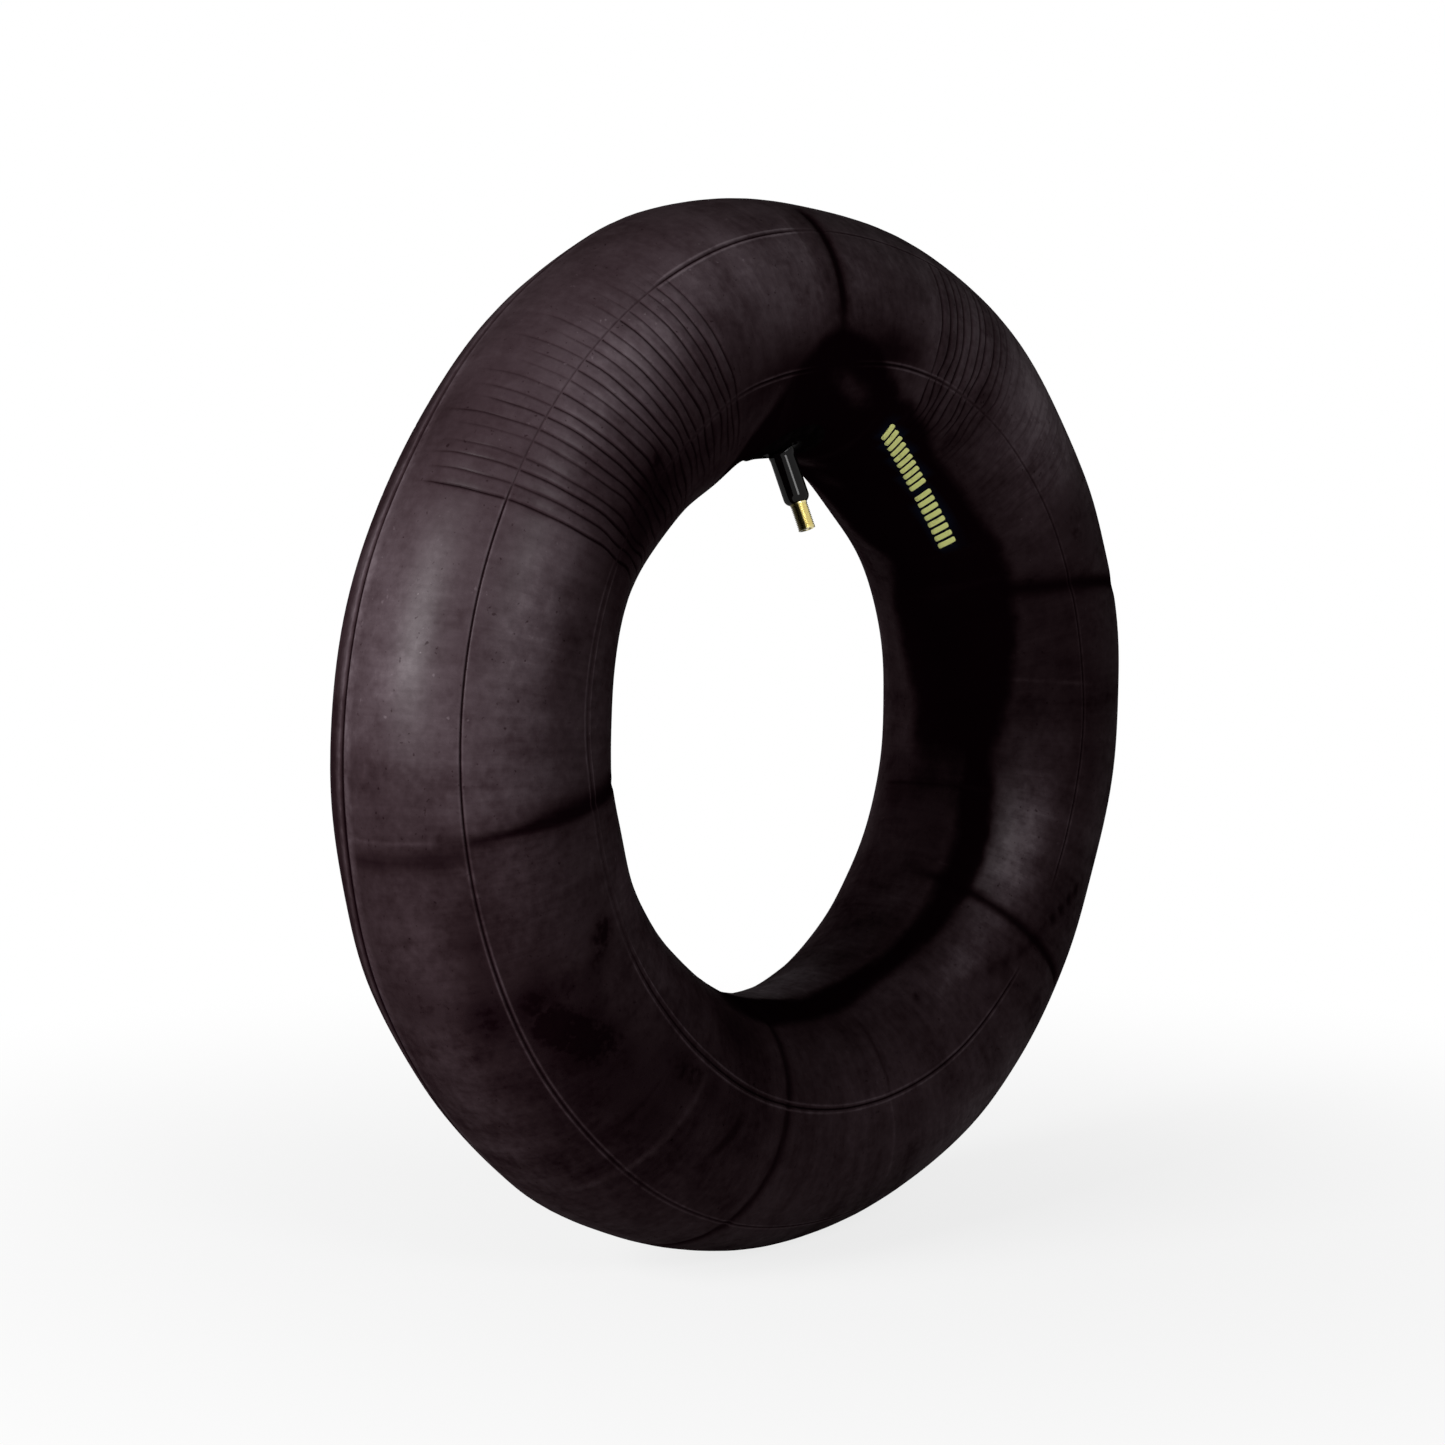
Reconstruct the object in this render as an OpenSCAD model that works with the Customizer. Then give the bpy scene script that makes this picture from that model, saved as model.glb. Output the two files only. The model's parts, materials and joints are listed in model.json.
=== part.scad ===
// Inflated inner tube with a rubber-covered straight valve and its screw-in valve core.
//
// The ring stands upright: the wheel axis is Y, the front faces -Y, +Z is up, and the origin is
// the wheel's centre. Angles round the wheel start at +X and run towards +Z. Angles round the
// section start at the middle of the tread, pass the front wall at 90 and the rim side at 180.

/* [Ring] */
// Radius of the section's centre circle, round the wheel axis
centre_r = 178; // [160:1:230]
// Radius of the inflated section
section_r = 57; // [48:0.5:70]
// Thickness of the butyl wall
wall_t = 1.8; // [1.4:0.1:3]
// Roll of the section about its own centre circle, which brings the valve towards the front
section_roll = 18.5; // [-25:0.5:25]
// Turn of the ring about the wheel axis, from the valve straight up
ring_turn = 4.5; // [-45:0.5:45]

/* [Moulding lines] */
// Lines on each side of the one along the middle of the tread
lines_each_side = 2; // [1:1:2]
// Angle round the section from one line to the next
line_step = 60; // [50:1:64]
// Radius of the round groove along each line
line_r = 0.7; // [0.5:0.05:1]
// Radius of the raised lip on each side of a groove
lip_r = 1; // [0.8:0.1:1.6]
// Height of the lips above the skin
lip_rise = 0.4; // [0.2:0.05:0.6]
// Distance from a groove's middle to the middle of its lip
lip_offset = 1.9; // [1.8:0.1:2.6]

/* [Vent grooves] */
// Grooves in each of the two patches, which lie one on each side of the valve
vent_count = 21; // [8:1:24]
// Distance from groove to groove along the centre circle
vent_pitch = 5.2; // [4:0.1:6]
// Radius of a vent groove, which lies centred on the skin
vent_r = 0.6; // [0.4:0.05:0.8]
// Half length of the plain panel over the valve, along the centre circle
vent_plain = 71.5; // [50:0.5:90]
// Angle left plain between a moulding line and the ends of the vent grooves
vent_gap = 3; // [3:0.5:8]

/* [Valve rubber] */
// Diameter of the rubber-covered stem, for an 11.5 mm hole in the rim
stem_d = 11.5; // [11.2:0.1:13]
// Length of the rubber-covered stem above the tube's skin
stem_len = 25.8; // [24:0.1:45]
// Rounding of the rubber's outer end
shoulder_r = 3.4; // [2:0.1:4.5]
// Rounding where the stem grows out of its foot
root_r = 4; // [2:0.1:6]
// Radius of the foot that is vulcanised to the tube
foot_r = 17; // [14:0.5:24]
// Thickness of the foot
foot_t = 1.2; // [0.9:0.1:2]
// Width of the thin skirt round the foot
skirt_w = 4; // [2:0.5:8]
// Thickness of the skirt
skirt_t = 0.5; // [0.3:0.1:0.8]
// Offset of the valve from the middle of the rim side, round the section towards the front
valve_offset = 2.5; // [-6:0.5:6]

/* [Valve stem] */
// Outside diameter of the threaded brass end
thread_d = 7.7; // [7.6:0.1:8]
// Length of the brass that stands out of the rubber
thread_len = 11.6; // [9:0.1:14]
// Depth to which the thread's foot is sunk in the rubber's rounded end
thread_sink = 0.25; // [0.1:0.05:1]
// Diameter of the insert's stretch that is buried in the rubber
buried_d = 7; // [6.8:0.1:7.4]
// Length of the whole brass insert
insert_len = 33.5; // [32:0.1:35]
// Diameter of the anchor flange at the insert's inner end
flange_d = 9.6; // [9:0.1:10]
// Thickness of the anchor flange
flange_t = 1.4; // [1:0.1:2]
// Width of each anchor groove, and of the land beside it
anchor_w = 1.2; // [0.8:0.1:1.6]
// Depth of the anchor grooves
anchor_depth = 0.4; // [0.2:0.05:0.5]
// Anchor grooves along the buried stretch
anchor_count = 4; // [2:1:5]
// Chamfer on the outer end
tip_chamfer = 0.6; // [0.3:0.1:0.9]
// Diameter of the air passage at the insert's inner end
throat_d = 2.6; // [2:0.1:3]
// How much wider the hole through the rubber foot is than the passage, across its radius
foot_relief = 0.2; // [0.1:0.05:0.5]
// How much wider the hole punched in the tube's wall is than the passage, across its radius
wall_relief = 1.2; // [0.6:0.1:2]

/* [Core chamber] */
// Diameter of the chamber's threaded stretch
chamber_d = 5.2; // [5.2:0.05:5.5]
// Diameter of the chamber below the gasket's seat
lower_d = 4.1; // [4:0.05:4.3]
// Depth of the gasket's seat below the tip
seat_depth = 9.6; // [9.4:0.1:10.4]
// Length of the seat's cone
seat_len = 1.8; // [1.4:0.1:2.2]
// Chamfer at the chamber's mouth
mouth_chamfer = 0.4; // [0.2:0.1:0.6]

/* [Valve core] */
// Depth of the pin's head below the tip
pin_depth = 0.2; // [0:0.1:0.6]
// Travel of the pin when it is pressed
pin_travel = 1.3; // [0.8:0.1:1.5]
// Diameter of the pin
pin_d = 0.9; // [0.8:0.05:1]
// Diameter of the pin's head
pin_head_d = 1.9; // [1.6:0.1:2.2]
// Thickness of the pin's head, and of its riveted inner end
pin_head_t = 0.5; // [0.3:0.05:0.6]
// Diameter of the collar that the spring pushes
collar_d = 2; // [1.8:0.05:2.1]
// Thickness of the collar
collar_t = 0.4; // [0.3:0.05:0.6]
// Height of the bridge above the plug's threaded head
bridge_h = 2.2; // [1.8:0.1:2.4]
// Width across the bridge's rounded ends
bridge_d = 4.3; // [4:0.1:4.6]
// Width of the bridge's flats, which the core key turns
bridge_t = 1.5; // [1.2:0.1:1.8]
// Thickness of the bridge over the air windows
bridge_roof = 0.8; // [0.6:0.1:1]
// Length of the plug's threaded head
plug_len = 4.2; // [4:0.1:4.6]
// Diameter of the air passage through the plug
passage_d = 2.9; // [2.6:0.05:3.2]
// Thickness of the lip that holds the swivel head in the plug
plug_lip = 0.3; // [0.2:0.05:0.4]
// Thickness of the swivel head that the plug holds
swivel_t = 0.7; // [0.5:0.05:0.9]
// Diameter of the swivel head
swivel_d = 3.7; // [3.5:0.05:3.8]
// Diameter of the swivel's neck
neck_d = 3; // [2.9:0.05:3.1]
// Outside diameter of the barrel
barrel_d = 3.5; // [3.4:0.05:3.6]
// Inside diameter of the barrel
barrel_bore_d = 2.4; // [2.3:0.05:2.5]
// Length of the barrel below the plug
barrel_len = 9.9; // [9:0.1:11]
// Thickness of the web that guides the pin
web_t = 0.5; // [0.4:0.05:0.8]
// Height of the sealing rim below the web
rim_h = 0.7; // [0.5:0.05:1]
// Diameter of the three air holes through the web
web_hole_d = 0.5; // [0.4:0.05:0.55]
// Length of the tapered gasket
gasket_len = 1.4; // [1:0.1:1.6]
// Outside diameter of the cup
cup_d = 3.6; // [3.5:0.05:3.8]
// Thickness of the cup's wall
cup_wall_t = 0.2; // [0.15:0.05:0.25]
// Thickness of the cup's floor
cup_floor_t = 0.4; // [0.3:0.05:0.5]
// Thickness of the rubber seal in the cup
seal_t = 0.9; // [0.7:0.05:1.2]
// How far the seal stands out of the cup
seal_proud = 0.3; // [0.2:0.05:0.4]
// Diameter of the spring's wire
wire_d = 0.28; // [0.22:0.01:0.3]
// Turns of the spring, with its closed end turns
spring_turns = 10; // [7:1:12]

/* [Fits] */
// Radial clearance of the pin in its guides
running_fit = 0.05; // [0.02:0.01:0.1]
// Clearance between core pieces that screw, swivel or seat
core_fit = 0.05; // [0.03:0.01:0.08]
// Radial gap between the barrel's shoulder and the gasket's seat
shoulder_fit = 0.2; // [0.1:0.05:0.3]
// Room left over when the pin is pressed home
stop_room = 0.3; // [0.2:0.05:0.5]

/* [Hidden] */
$fn = 96;

rubber_black = [0.15, 0.13, 0.14];
brass = [0.80, 0.68, 0.34];
core_brass = [0.72, 0.58, 0.28];
steel = [0.74, 0.74, 0.76];
gasket_red = [0.55, 0.16, 0.12];
seal_black = [0.08, 0.08, 0.08];

// Whatever runs past a face, so that no cut ends on the face itself.
over = 1;

wheel_top = 90;
rim_side = 180;
valve_turn = wheel_top + ring_turn;
line_angles = [for (i = [-lines_each_side : lines_each_side]) i * line_step];
lip_angle = arc_angle(lip_offset, section_r);
vent_step = arc_angle(vent_pitch, centre_r);
vent_first = arc_angle(vent_plain, centre_r);

stem_r = stem_d / 2;
thread_r = thread_d / 2;
tip_z = stem_len + thread_len;
insert_z = tip_z - insert_len;
flange_r = flange_d / 2;
throat_r = throat_d / 2;
foot_hole_r = throat_r + foot_relief;
wall_hole_r = throat_r + wall_relief;
root_z = skirt_t;
buried_r = buried_d / 2;
thread_z = shoulder_z(thread_r) - thread_sink;

chamber_r = chamber_d / 2;
lower_r = lower_d / 2;
seat_end = seat_depth + seat_len;

// Depths below the tip, from the outside in.
bridge_top = pin_depth + pin_head_t + pin_travel + stop_room;
plug_top = bridge_top + bridge_h;
plug_end = plug_top + plug_len;
swivel_top = plug_end - plug_lip - core_fit - swivel_t;
barrel_end = plug_end + barrel_len;
web_top = barrel_end - rim_h - web_t;
gasket_top = seat_depth + core_fit;
gasket_end = gasket_top + gasket_len;
seal_top = barrel_end + core_fit;
seal_end = seal_top + seal_t;
cup_end = seal_end + cup_floor_t;
pin_end = cup_end + pin_head_t;
collar_top = swivel_top + collar_t;
spring_top = collar_top + collar_t;
chamber_len = pin_end + pin_travel + stop_room;

plug_r = chamber_r - core_fit;
passage_r = passage_d / 2;
bridge_r = bridge_d / 2;
swivel_r = swivel_d / 2;
neck_r = neck_d / 2;
shoulder_end_r = seat_r(gasket_top) - shoulder_fit;
barrel_r = barrel_d / 2;
barrel_bore_r = barrel_bore_d / 2;
pin_r = pin_d / 2;
guide_r = pin_r + running_fit;
cup_r = cup_d / 2;
seal_r = cup_r - cup_wall_t;
wire_r = wire_d / 2;
coil_r = barrel_bore_r - core_fit - wire_r;

// Angle that a length takes up along a circle.
function arc_angle(length, r) = length / r * 180 / PI;

// Radius of the gasket's seat in the stem at a depth below the tip.
function seat_r(depth) = chamber_r + (lower_r - chamber_r) * (depth - seat_depth) / seat_len;

// Height of the rubber's rounded end above the skin, at a radius of the stem.
function shoulder_z(r) =
    stem_len - shoulder_r + sqrt(shoulder_r ^ 2 - max(0, r - stem_r + shoulder_r) ^ 2);

// Lays a shape made round +Z on the wheel axis.
module upright() {
    rotate([90, 0, 0]) children();
}

// Puts a shape at the section's centre, turned to an angle round the wheel, in its own XZ plane.
module at_turn(turn) {
    upright() rotate([0, 0, turn]) translate([centre_r, 0, 0]) children();
}

// Puts a shape on the tube's skin under the valve, with +Z along the valve.
module at_valve() {
    lean = rim_side - section_roll - valve_offset;
    at_turn(valve_turn)
        rotate([0, -lean, 0]) translate([section_r, 0, 0]) rotate([0, 90, 0]) children();
}

// Puts a shape at the valve's tip, with +Z as the depth into the valve.
module at_core() {
    at_valve() translate([0, 0, tip_z]) rotate([180, 0, 0]) children();
}

// A tube along the centre circle, as a solid of the given section radius.
module solid_ring(r) {
    upright() rotate_extrude() translate([centre_r, 0]) rotate(rim_side) circle(r = r);
}

module on_section(angle) {
    rotate(angle - section_roll) translate([section_r, 0]) children();
}

// The inflated section with its moulding lines: a groove between two lips.
module wall_profile() {
    difference() {
        union() {
            rotate(rim_side) circle(r = section_r);
            for (angle = line_angles, side = [-1, 1])
                on_section(angle + side * lip_angle)
                    translate([lip_rise - lip_r, 0]) circle(r = lip_r);
        }
        for (angle = line_angles) on_section(angle) circle(r = line_r);
        rotate(rim_side) circle(r = section_r - wall_t);
    }
}

// One vent groove across a shoulder, from one angle round the section to another.
module vent_groove(turn, from, to) {
    at_turn(turn) rotate([90, 0, 0]) rotate([0, 0, from - section_roll])
        rotate_extrude(angle = to - from) translate([section_r, 0]) circle(r = vent_r);
}

module vent_grooves() {
    for (side = [-1, 1], i = [0 : vent_count - 1]) {
        turn = valve_turn + side * (vent_first + i * vent_step);
        vent_groove(turn, line_step + vent_gap, 2 * line_step - vent_gap);
        vent_groove(turn, vent_gap - 2 * line_step, -line_step - vent_gap);
    }
}

module tube_wall() {
    color(rubber_black) difference() {
        upright() rotate_extrude() translate([centre_r, 0]) wall_profile();
        vent_grooves();
        at_valve() cylinder(r = wall_hole_r, h = 4 * wall_t, center = true);
    }
}

// A round patch of rubber that follows the tube's skin.
module foot_disc(r, t) {
    intersection() {
        solid_ring(section_r + t);
        at_valve() cylinder(r = r, h = 2 * r, center = true);
    }
}

module quarter_round(r) {
    intersection() {
        circle(r = r);
        square(r);
    }
}

// The stem's half outline, with a rounded shoulder and a flared root.
module rubber_profile() {
    translate([0, -root_r]) square([stem_r, stem_len - shoulder_r + root_r]);
    square([stem_r - shoulder_r, stem_len]);
    translate([stem_r - shoulder_r, stem_len - shoulder_r]) quarter_round(shoulder_r);
    difference() {
        translate([0, -root_r]) square([stem_r + root_r, root_z + 2 * root_r]);
        translate([stem_r + root_r, root_z + root_r]) circle(r = root_r);
    }
}

module valve_rubber() {
    color(rubber_black) difference() {
        union() {
            foot_disc(foot_r + skirt_w, skirt_t);
            foot_disc(foot_r, foot_t);
            at_valve() rotate_extrude() rubber_profile();
        }
        solid_ring(section_r);
        at_valve() rotate_extrude() insert_profile();
        at_valve() cylinder(r = foot_hole_r, h = 2 * (insert_z + over), center = true);
    }
}

// The insert's half outline: flange, grooves that key it into the rubber, and the threaded end.
module insert_profile() {
    first_groove = insert_z + flange_t + anchor_w;
    difference() {
        union() {
            translate([0, insert_z]) square([flange_r, flange_t]);
            polygon([
                [0, insert_z], [buried_r, insert_z], [buried_r, thread_z], [thread_r, thread_z],
                [thread_r, tip_z - tip_chamfer], [thread_r - tip_chamfer, tip_z], [0, tip_z]
            ]);
        }
        for (i = [0 : anchor_count - 1])
            translate([buried_r - anchor_depth, first_groove + 2 * i * anchor_w])
                square([anchor_depth + over, anchor_w]);
    }
}

// The chamber's half outline, over the depth: mouth, thread, seat, lower bore and throat.
module chamber_profile() {
    mouth_r = chamber_r + mouth_chamfer;
    polygon([
        [0, -over], [mouth_r + over, -over], [chamber_r, mouth_chamfer], [chamber_r, seat_depth],
        [lower_r, seat_end], [lower_r, chamber_len], [throat_r, chamber_len + lower_r - throat_r],
        [throat_r, insert_len + over], [0, insert_len + over]
    ]);
}

module valve_stem() {
    color(brass) difference() {
        at_valve() rotate_extrude() insert_profile();
        at_core() rotate_extrude() chamber_profile();
    }
}

// Threaded head with the arched bridge that guides the pin and takes the core key.
module core_plug() {
    color(core_brass) at_core() difference() {
        union() {
            translate([0, 0, plug_top]) cylinder(r = plug_r, h = plug_len);
            intersection() {
                translate([0, 0, bridge_top]) cylinder(r = bridge_r, h = bridge_h + over);
                translate([-bridge_r, -bridge_t / 2, bridge_top])
                    cube([2 * bridge_r, bridge_t, bridge_h + over]);
            }
        }
        cylinder(r = guide_r, h = plug_end);
        translate([0, 0, bridge_top + bridge_roof])
            cylinder(r = passage_r, h = plug_end - bridge_top - bridge_roof - plug_lip);
        translate([0, 0, swivel_top - core_fit])
            cylinder(r = swivel_r + core_fit, h = swivel_t + 2 * core_fit);
        translate([0, 0, plug_end - plug_lip - over])
            cylinder(r = neck_r + core_fit, h = plug_lip + 2 * over);
    }
}

// The barrel's half outline: swivel head, neck, the shoulder that pushes the gasket, and body.
module barrel_profile() {
    shoulder_top = plug_end + core_fit;
    translate([0, swivel_top]) square([swivel_r, swivel_t]);
    translate([0, swivel_top]) square([neck_r, gasket_end - swivel_top]);
    translate([0, shoulder_top]) square([shoulder_end_r, gasket_top - shoulder_top]);
    translate([0, gasket_end]) square([barrel_r, barrel_end - gasket_end]);
}

module core_barrel() {
    color(core_brass) at_core() difference() {
        rotate_extrude() barrel_profile();
        translate([0, 0, swivel_top - over]) cylinder(r = barrel_bore_r, h = web_top - swivel_top + over);
        translate([0, 0, web_top + web_t]) cylinder(r = barrel_bore_r, h = rim_h + over);
        cylinder(r = guide_r, h = barrel_end);
        for (i = [0 : 2]) rotate(i * 120)
            translate([(guide_r + barrel_bore_r) / 2, 0, web_top - over])
                cylinder(r = web_hole_d / 2, h = web_t + 2 * over);
    }
}

module core_gasket() {
    color(gasket_red) at_core() rotate_extrude() polygon([
        [neck_r, gasket_top], [seat_r(gasket_top) - core_fit, gasket_top],
        [seat_r(gasket_end) - core_fit, gasket_end], [neck_r, gasket_end]
    ]);
}

// The spring's wire, as one ring of points for each step along the coil.
spring_sides = 8;
spring_steps = 18;
spring_start = spring_top + wire_r + core_fit;
spring_finish = web_top - wire_r - core_fit;
closed_rise = wire_d + core_fit / 2;
open_rise = (spring_finish - spring_start - 2 * closed_rise) / (spring_turns - 2);

// Depth of the wire's centre after a number of turns, with a closed turn at each end.
function coil_depth(turn) =
    turn < 1 ? spring_start + turn * closed_rise :
    turn > spring_turns - 1 ? spring_finish - (spring_turns - turn) * closed_rise :
    spring_start + closed_rise + (turn - 1) * open_rise;

function wire_point(turn, side) =
    let (a = turn * 360, b = side * 360 / spring_sides, r = coil_r + wire_r * cos(b))
    [r * cos(a), r * sin(a), coil_depth(turn) + wire_r * sin(b)];

module core_spring() {
    rings = spring_turns * spring_steps;
    points = [
        for (i = [0 : rings], j = [0 : spring_sides - 1]) wire_point(i / spring_steps, j)
    ];
    sides = [
        for (i = [0 : rings - 1], j = [0 : spring_sides - 1])
            let (k = (j + 1) % spring_sides, here = i * spring_sides, next = here + spring_sides)
            [here + j, next + j, next + k, here + k]
    ];
    first = [for (j = [0 : spring_sides - 1]) j];
    last = [for (j = [spring_sides - 1 : -1 : 0]) rings * spring_sides + j];
    color(steel) at_core() polyhedron(points = points, faces = concat(sides, [first, last]));
}

module core_pin() {
    color(steel) at_core() {
        translate([0, 0, pin_depth]) cylinder(d = pin_head_d, h = pin_head_t);
        translate([0, 0, pin_depth]) cylinder(r = pin_r, h = pin_end - pin_depth);
        translate([0, 0, collar_top]) cylinder(d = collar_d, h = collar_t);
        translate([0, 0, cup_end]) cylinder(d1 = pin_head_d, d2 = pin_d, h = pin_head_t);
    }
}

module core_cup() {
    rim = seal_top + seal_proud;
    color(core_brass) at_core() difference() {
        translate([0, 0, rim]) cylinder(r = cup_r, h = cup_end - rim);
        translate([0, 0, rim - over]) cylinder(r = seal_r, h = seal_end - rim + over);
        cylinder(r = pin_r, h = cup_end + over);
    }
}

module core_seal() {
    color(seal_black) at_core() difference() {
        translate([0, 0, seal_top]) cylinder(r = seal_r, h = seal_t);
        cylinder(r = pin_r, h = seal_end + over);
    }
}

tube_wall();
valve_rubber();
valve_stem();
core_plug();
core_barrel();
core_gasket();
core_spring();
core_pin();
core_cup();
core_seal();
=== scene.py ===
"""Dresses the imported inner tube: its blown-up skin, its rubber-covered valve and the valve's core.

Lengths are in metres, in the part's own frame: the ring stands upright, the wheel axis is Y, the
front faces -Y and +Z is up. A turn is an angle round the wheel, from +X towards +Z. A lean is an
angle round the section: 0 in the middle of the tread, 90 on the front wall, 180 on the rim side.
Both are in degrees.
"""

import json
import logging
import math
from dataclasses import dataclass, field, replace
from enum import Enum
from typing import Any, Sequence, Union

import bpy
import numpy as np
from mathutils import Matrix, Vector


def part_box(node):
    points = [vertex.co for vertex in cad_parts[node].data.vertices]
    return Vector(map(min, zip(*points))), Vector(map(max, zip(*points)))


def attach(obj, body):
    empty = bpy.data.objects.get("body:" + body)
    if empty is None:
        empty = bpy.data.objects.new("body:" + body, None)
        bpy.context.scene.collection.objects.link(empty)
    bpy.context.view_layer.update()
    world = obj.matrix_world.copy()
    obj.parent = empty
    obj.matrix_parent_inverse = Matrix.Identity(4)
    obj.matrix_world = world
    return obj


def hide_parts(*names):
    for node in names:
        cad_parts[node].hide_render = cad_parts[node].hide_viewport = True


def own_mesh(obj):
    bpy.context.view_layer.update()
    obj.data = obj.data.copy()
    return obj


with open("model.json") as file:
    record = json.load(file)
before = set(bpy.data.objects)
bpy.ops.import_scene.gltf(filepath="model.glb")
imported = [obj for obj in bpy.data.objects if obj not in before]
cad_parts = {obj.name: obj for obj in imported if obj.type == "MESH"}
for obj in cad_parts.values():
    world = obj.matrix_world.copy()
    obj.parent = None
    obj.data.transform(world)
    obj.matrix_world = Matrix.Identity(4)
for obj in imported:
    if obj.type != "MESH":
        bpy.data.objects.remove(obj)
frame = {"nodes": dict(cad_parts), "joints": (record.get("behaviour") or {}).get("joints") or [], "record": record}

log = logging.getLogger("inner_tube")

MM = 0.001
WHEEL_AXIS = np.array([0.0, -1.0, 0.0])

Array = np.ndarray
Colour = tuple[float, float, float]
Point = tuple[float, float, float]
Wave = tuple[float, float, float, float]
Value = Union["Wire", float]
Mix = tuple[tuple[str, float], ...]


class Ends(Enum):
    """How a grid of points meets itself along one of its two ways."""

    OPEN = "open"
    LOOP = "loop"
    POLES = "poles"


# Shapes


def smooth_step(values: Array, low: float, high: float) -> Array:
    """Rises from 0 at low to 1 at high along 3t^2 - 2t^3, or falls where high is the lower."""
    t = np.clip((values - low) / (high - low), 0.0, 1.0)
    return t * t * (3.0 - 2.0 * t)


def bell(values: Array, width: float) -> Array:
    """The bell curve exp(-(x / width)^2), 1 in the middle."""
    return np.exp(-np.square(values / width))


def turn_gap(turn: Array, centre: float) -> Array:
    """The shortest way round from centre to turn, from -180 to 180 degrees."""
    return (turn - centre + 180.0) % 360.0 - 180.0


def drawn_through(turn: Array, knots: Sequence[tuple[float, float]]) -> Array:
    """A smooth curve round the wheel through knots of (turn, value).

    Between two knots it is the cubic that has their values, and at each of them the slope of the
    line between the knots on its two sides.

    Args:
        turn: Where to work it out.
        knots: The knots, by rising turn.

    Returns:
        The curve's values.
    """
    place, value = np.array(knots).T
    place = np.r_[place[-2:] - 360.0, place, place[:2] + 360.0]
    value = np.r_[value[-2:], value, value[:2]]
    slope = np.r_[0.0, (value[2:] - value[:-2]) / (place[2:] - place[:-2]), 0.0]
    left = np.clip(np.searchsorted(place, turn % 360.0, side="right") - 1, 1, len(place) - 3)
    width = place[left + 1] - place[left]
    t = (turn % 360.0 - place[left]) / width
    rise, fall = slope[left] * width, slope[left + 1] * width
    climb = value[left + 1] - value[left]
    return value[left] + t * (rise + t * (3.0 * climb - 2.0 * rise - fall + t * (rise + fall - 2.0 * climb)))


def waves(turn: Array, lean: Array, table: Sequence[Wave]) -> Array:
    """The sum of sine waves, each a height, its waves round the wheel and section, and a shift."""
    t, s = np.radians(turn), np.radians(lean)
    return sum(high * np.sin(first * t + second * s + shift) for high, first, second, shift in table)


def arc(centre: tuple[float, float], radius: float, start: float, end: float, count: int) -> Array:
    """Points (radius, height) of an arc, from start to end in degrees from outwards to upwards."""
    angle = np.radians(np.linspace(start, end, count))
    return np.column_stack([centre[0] + radius * np.cos(angle), centre[1] + radius * np.sin(angle)])


def grid_piece(
    name: str,
    points: Array,
    down: Ends = Ends.OPEN,
    across: Ends = Ends.LOOP,
    fields: dict[str, Array] | None = None,
    sharp: float | None = None,
) -> bpy.types.Object:
    """Makes a smooth closed piece from a grid of points, four neighbours to a face.

    Where a grid ends in poles, its first and last rows are single points, each the hub of a fan
    of triangles. Where the cones from the origin to all faces add up to a negative volume, the
    faces are turned outwards.

    Args:
        name: The piece's name.
        points: The grid, as rows by columns by 3.
        down: How the rows end.
        across: How the columns end.
        fields: Numbers or vectors for each point, which materials read by name.
        sharp: Angle in degrees past which an edge stays sharp, or None for a soft surface.

    Returns:
        The new object, at the origin.
    """
    rows, columns = points.shape[:2]
    index = np.arange(rows * columns).reshape(rows, columns)
    keep = np.arange(rows * columns)
    if down is Ends.POLES:
        index = np.clip(index - (columns - 1), 0, None)
        index[-1] = index[-1, 0]
        keep = np.r_[0, columns:(rows - 1) * columns + 1]
    if down is Ends.LOOP:
        index = np.vstack([index, index[:1]])
    if across is Ends.LOOP:
        index = np.hstack([index, index[:, :1]])
    quads = np.stack([index[:-1, :-1], index[:-1, 1:], index[1:, 1:], index[1:, :-1]], axis=-1)
    kept = np.ones(quads.shape, bool)
    if down is Ends.POLES:
        kept[0, :, 1] = False
        kept[-1, :, 3] = False
    place = points.reshape(-1, 3)[keep]
    loops = quads[kept]
    totals = kept.sum(axis=-1).ravel()
    starts = np.r_[0, np.cumsum(totals)[:-1]]
    first, second, third, last = (place[loops[starts + step]] for step in (0, 1, 2, totals - 1))
    if (first * (np.cross(second, third) + np.cross(third, last))).sum() < 0.0:
        owner = np.repeat(np.arange(len(totals)), totals)
        loops = loops[2 * starts[owner] + totals[owner] - 1 - np.arange(len(loops))]
    mesh = bpy.data.meshes.new(name)
    mesh.vertices.add(len(place))
    mesh.vertices.foreach_set("co", place.astype(np.float32).ravel())
    mesh.loops.add(len(loops))
    mesh.loops.foreach_set("vertex_index", loops.astype(np.int32))
    mesh.polygons.add(len(totals))
    mesh.polygons.foreach_set("loop_start", starts.astype(np.int32))
    mesh.polygons.foreach_set("loop_total", totals.astype(np.int32))
    mesh.update(calc_edges=True)
    mesh.shade_smooth()
    if sharp is not None:
        mesh.set_sharp_from_angle(angle=math.radians(sharp))
    for title, values in (fields or {}).items():
        flat = values.reshape(rows * columns, -1)[keep].astype(np.float32)
        kind, key = ("FLOAT", "value") if flat.shape[1] == 1 else ("FLOAT_VECTOR", "vector")
        mesh.attributes.new(title, kind, "POINT").data.foreach_set(key, flat.ravel())
    piece = bpy.data.objects.new(name, mesh)
    bpy.context.scene.collection.objects.link(piece)
    return piece


def capped(sheet: Array) -> Array:
    """A flat tube of points with a pole added in the middle of each end."""
    first, last = (np.broadcast_to(sheet[end].mean(axis=0), sheet[end].shape) for end in (0, -1))
    return np.concatenate([first[None], sheet, last[None]])


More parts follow.
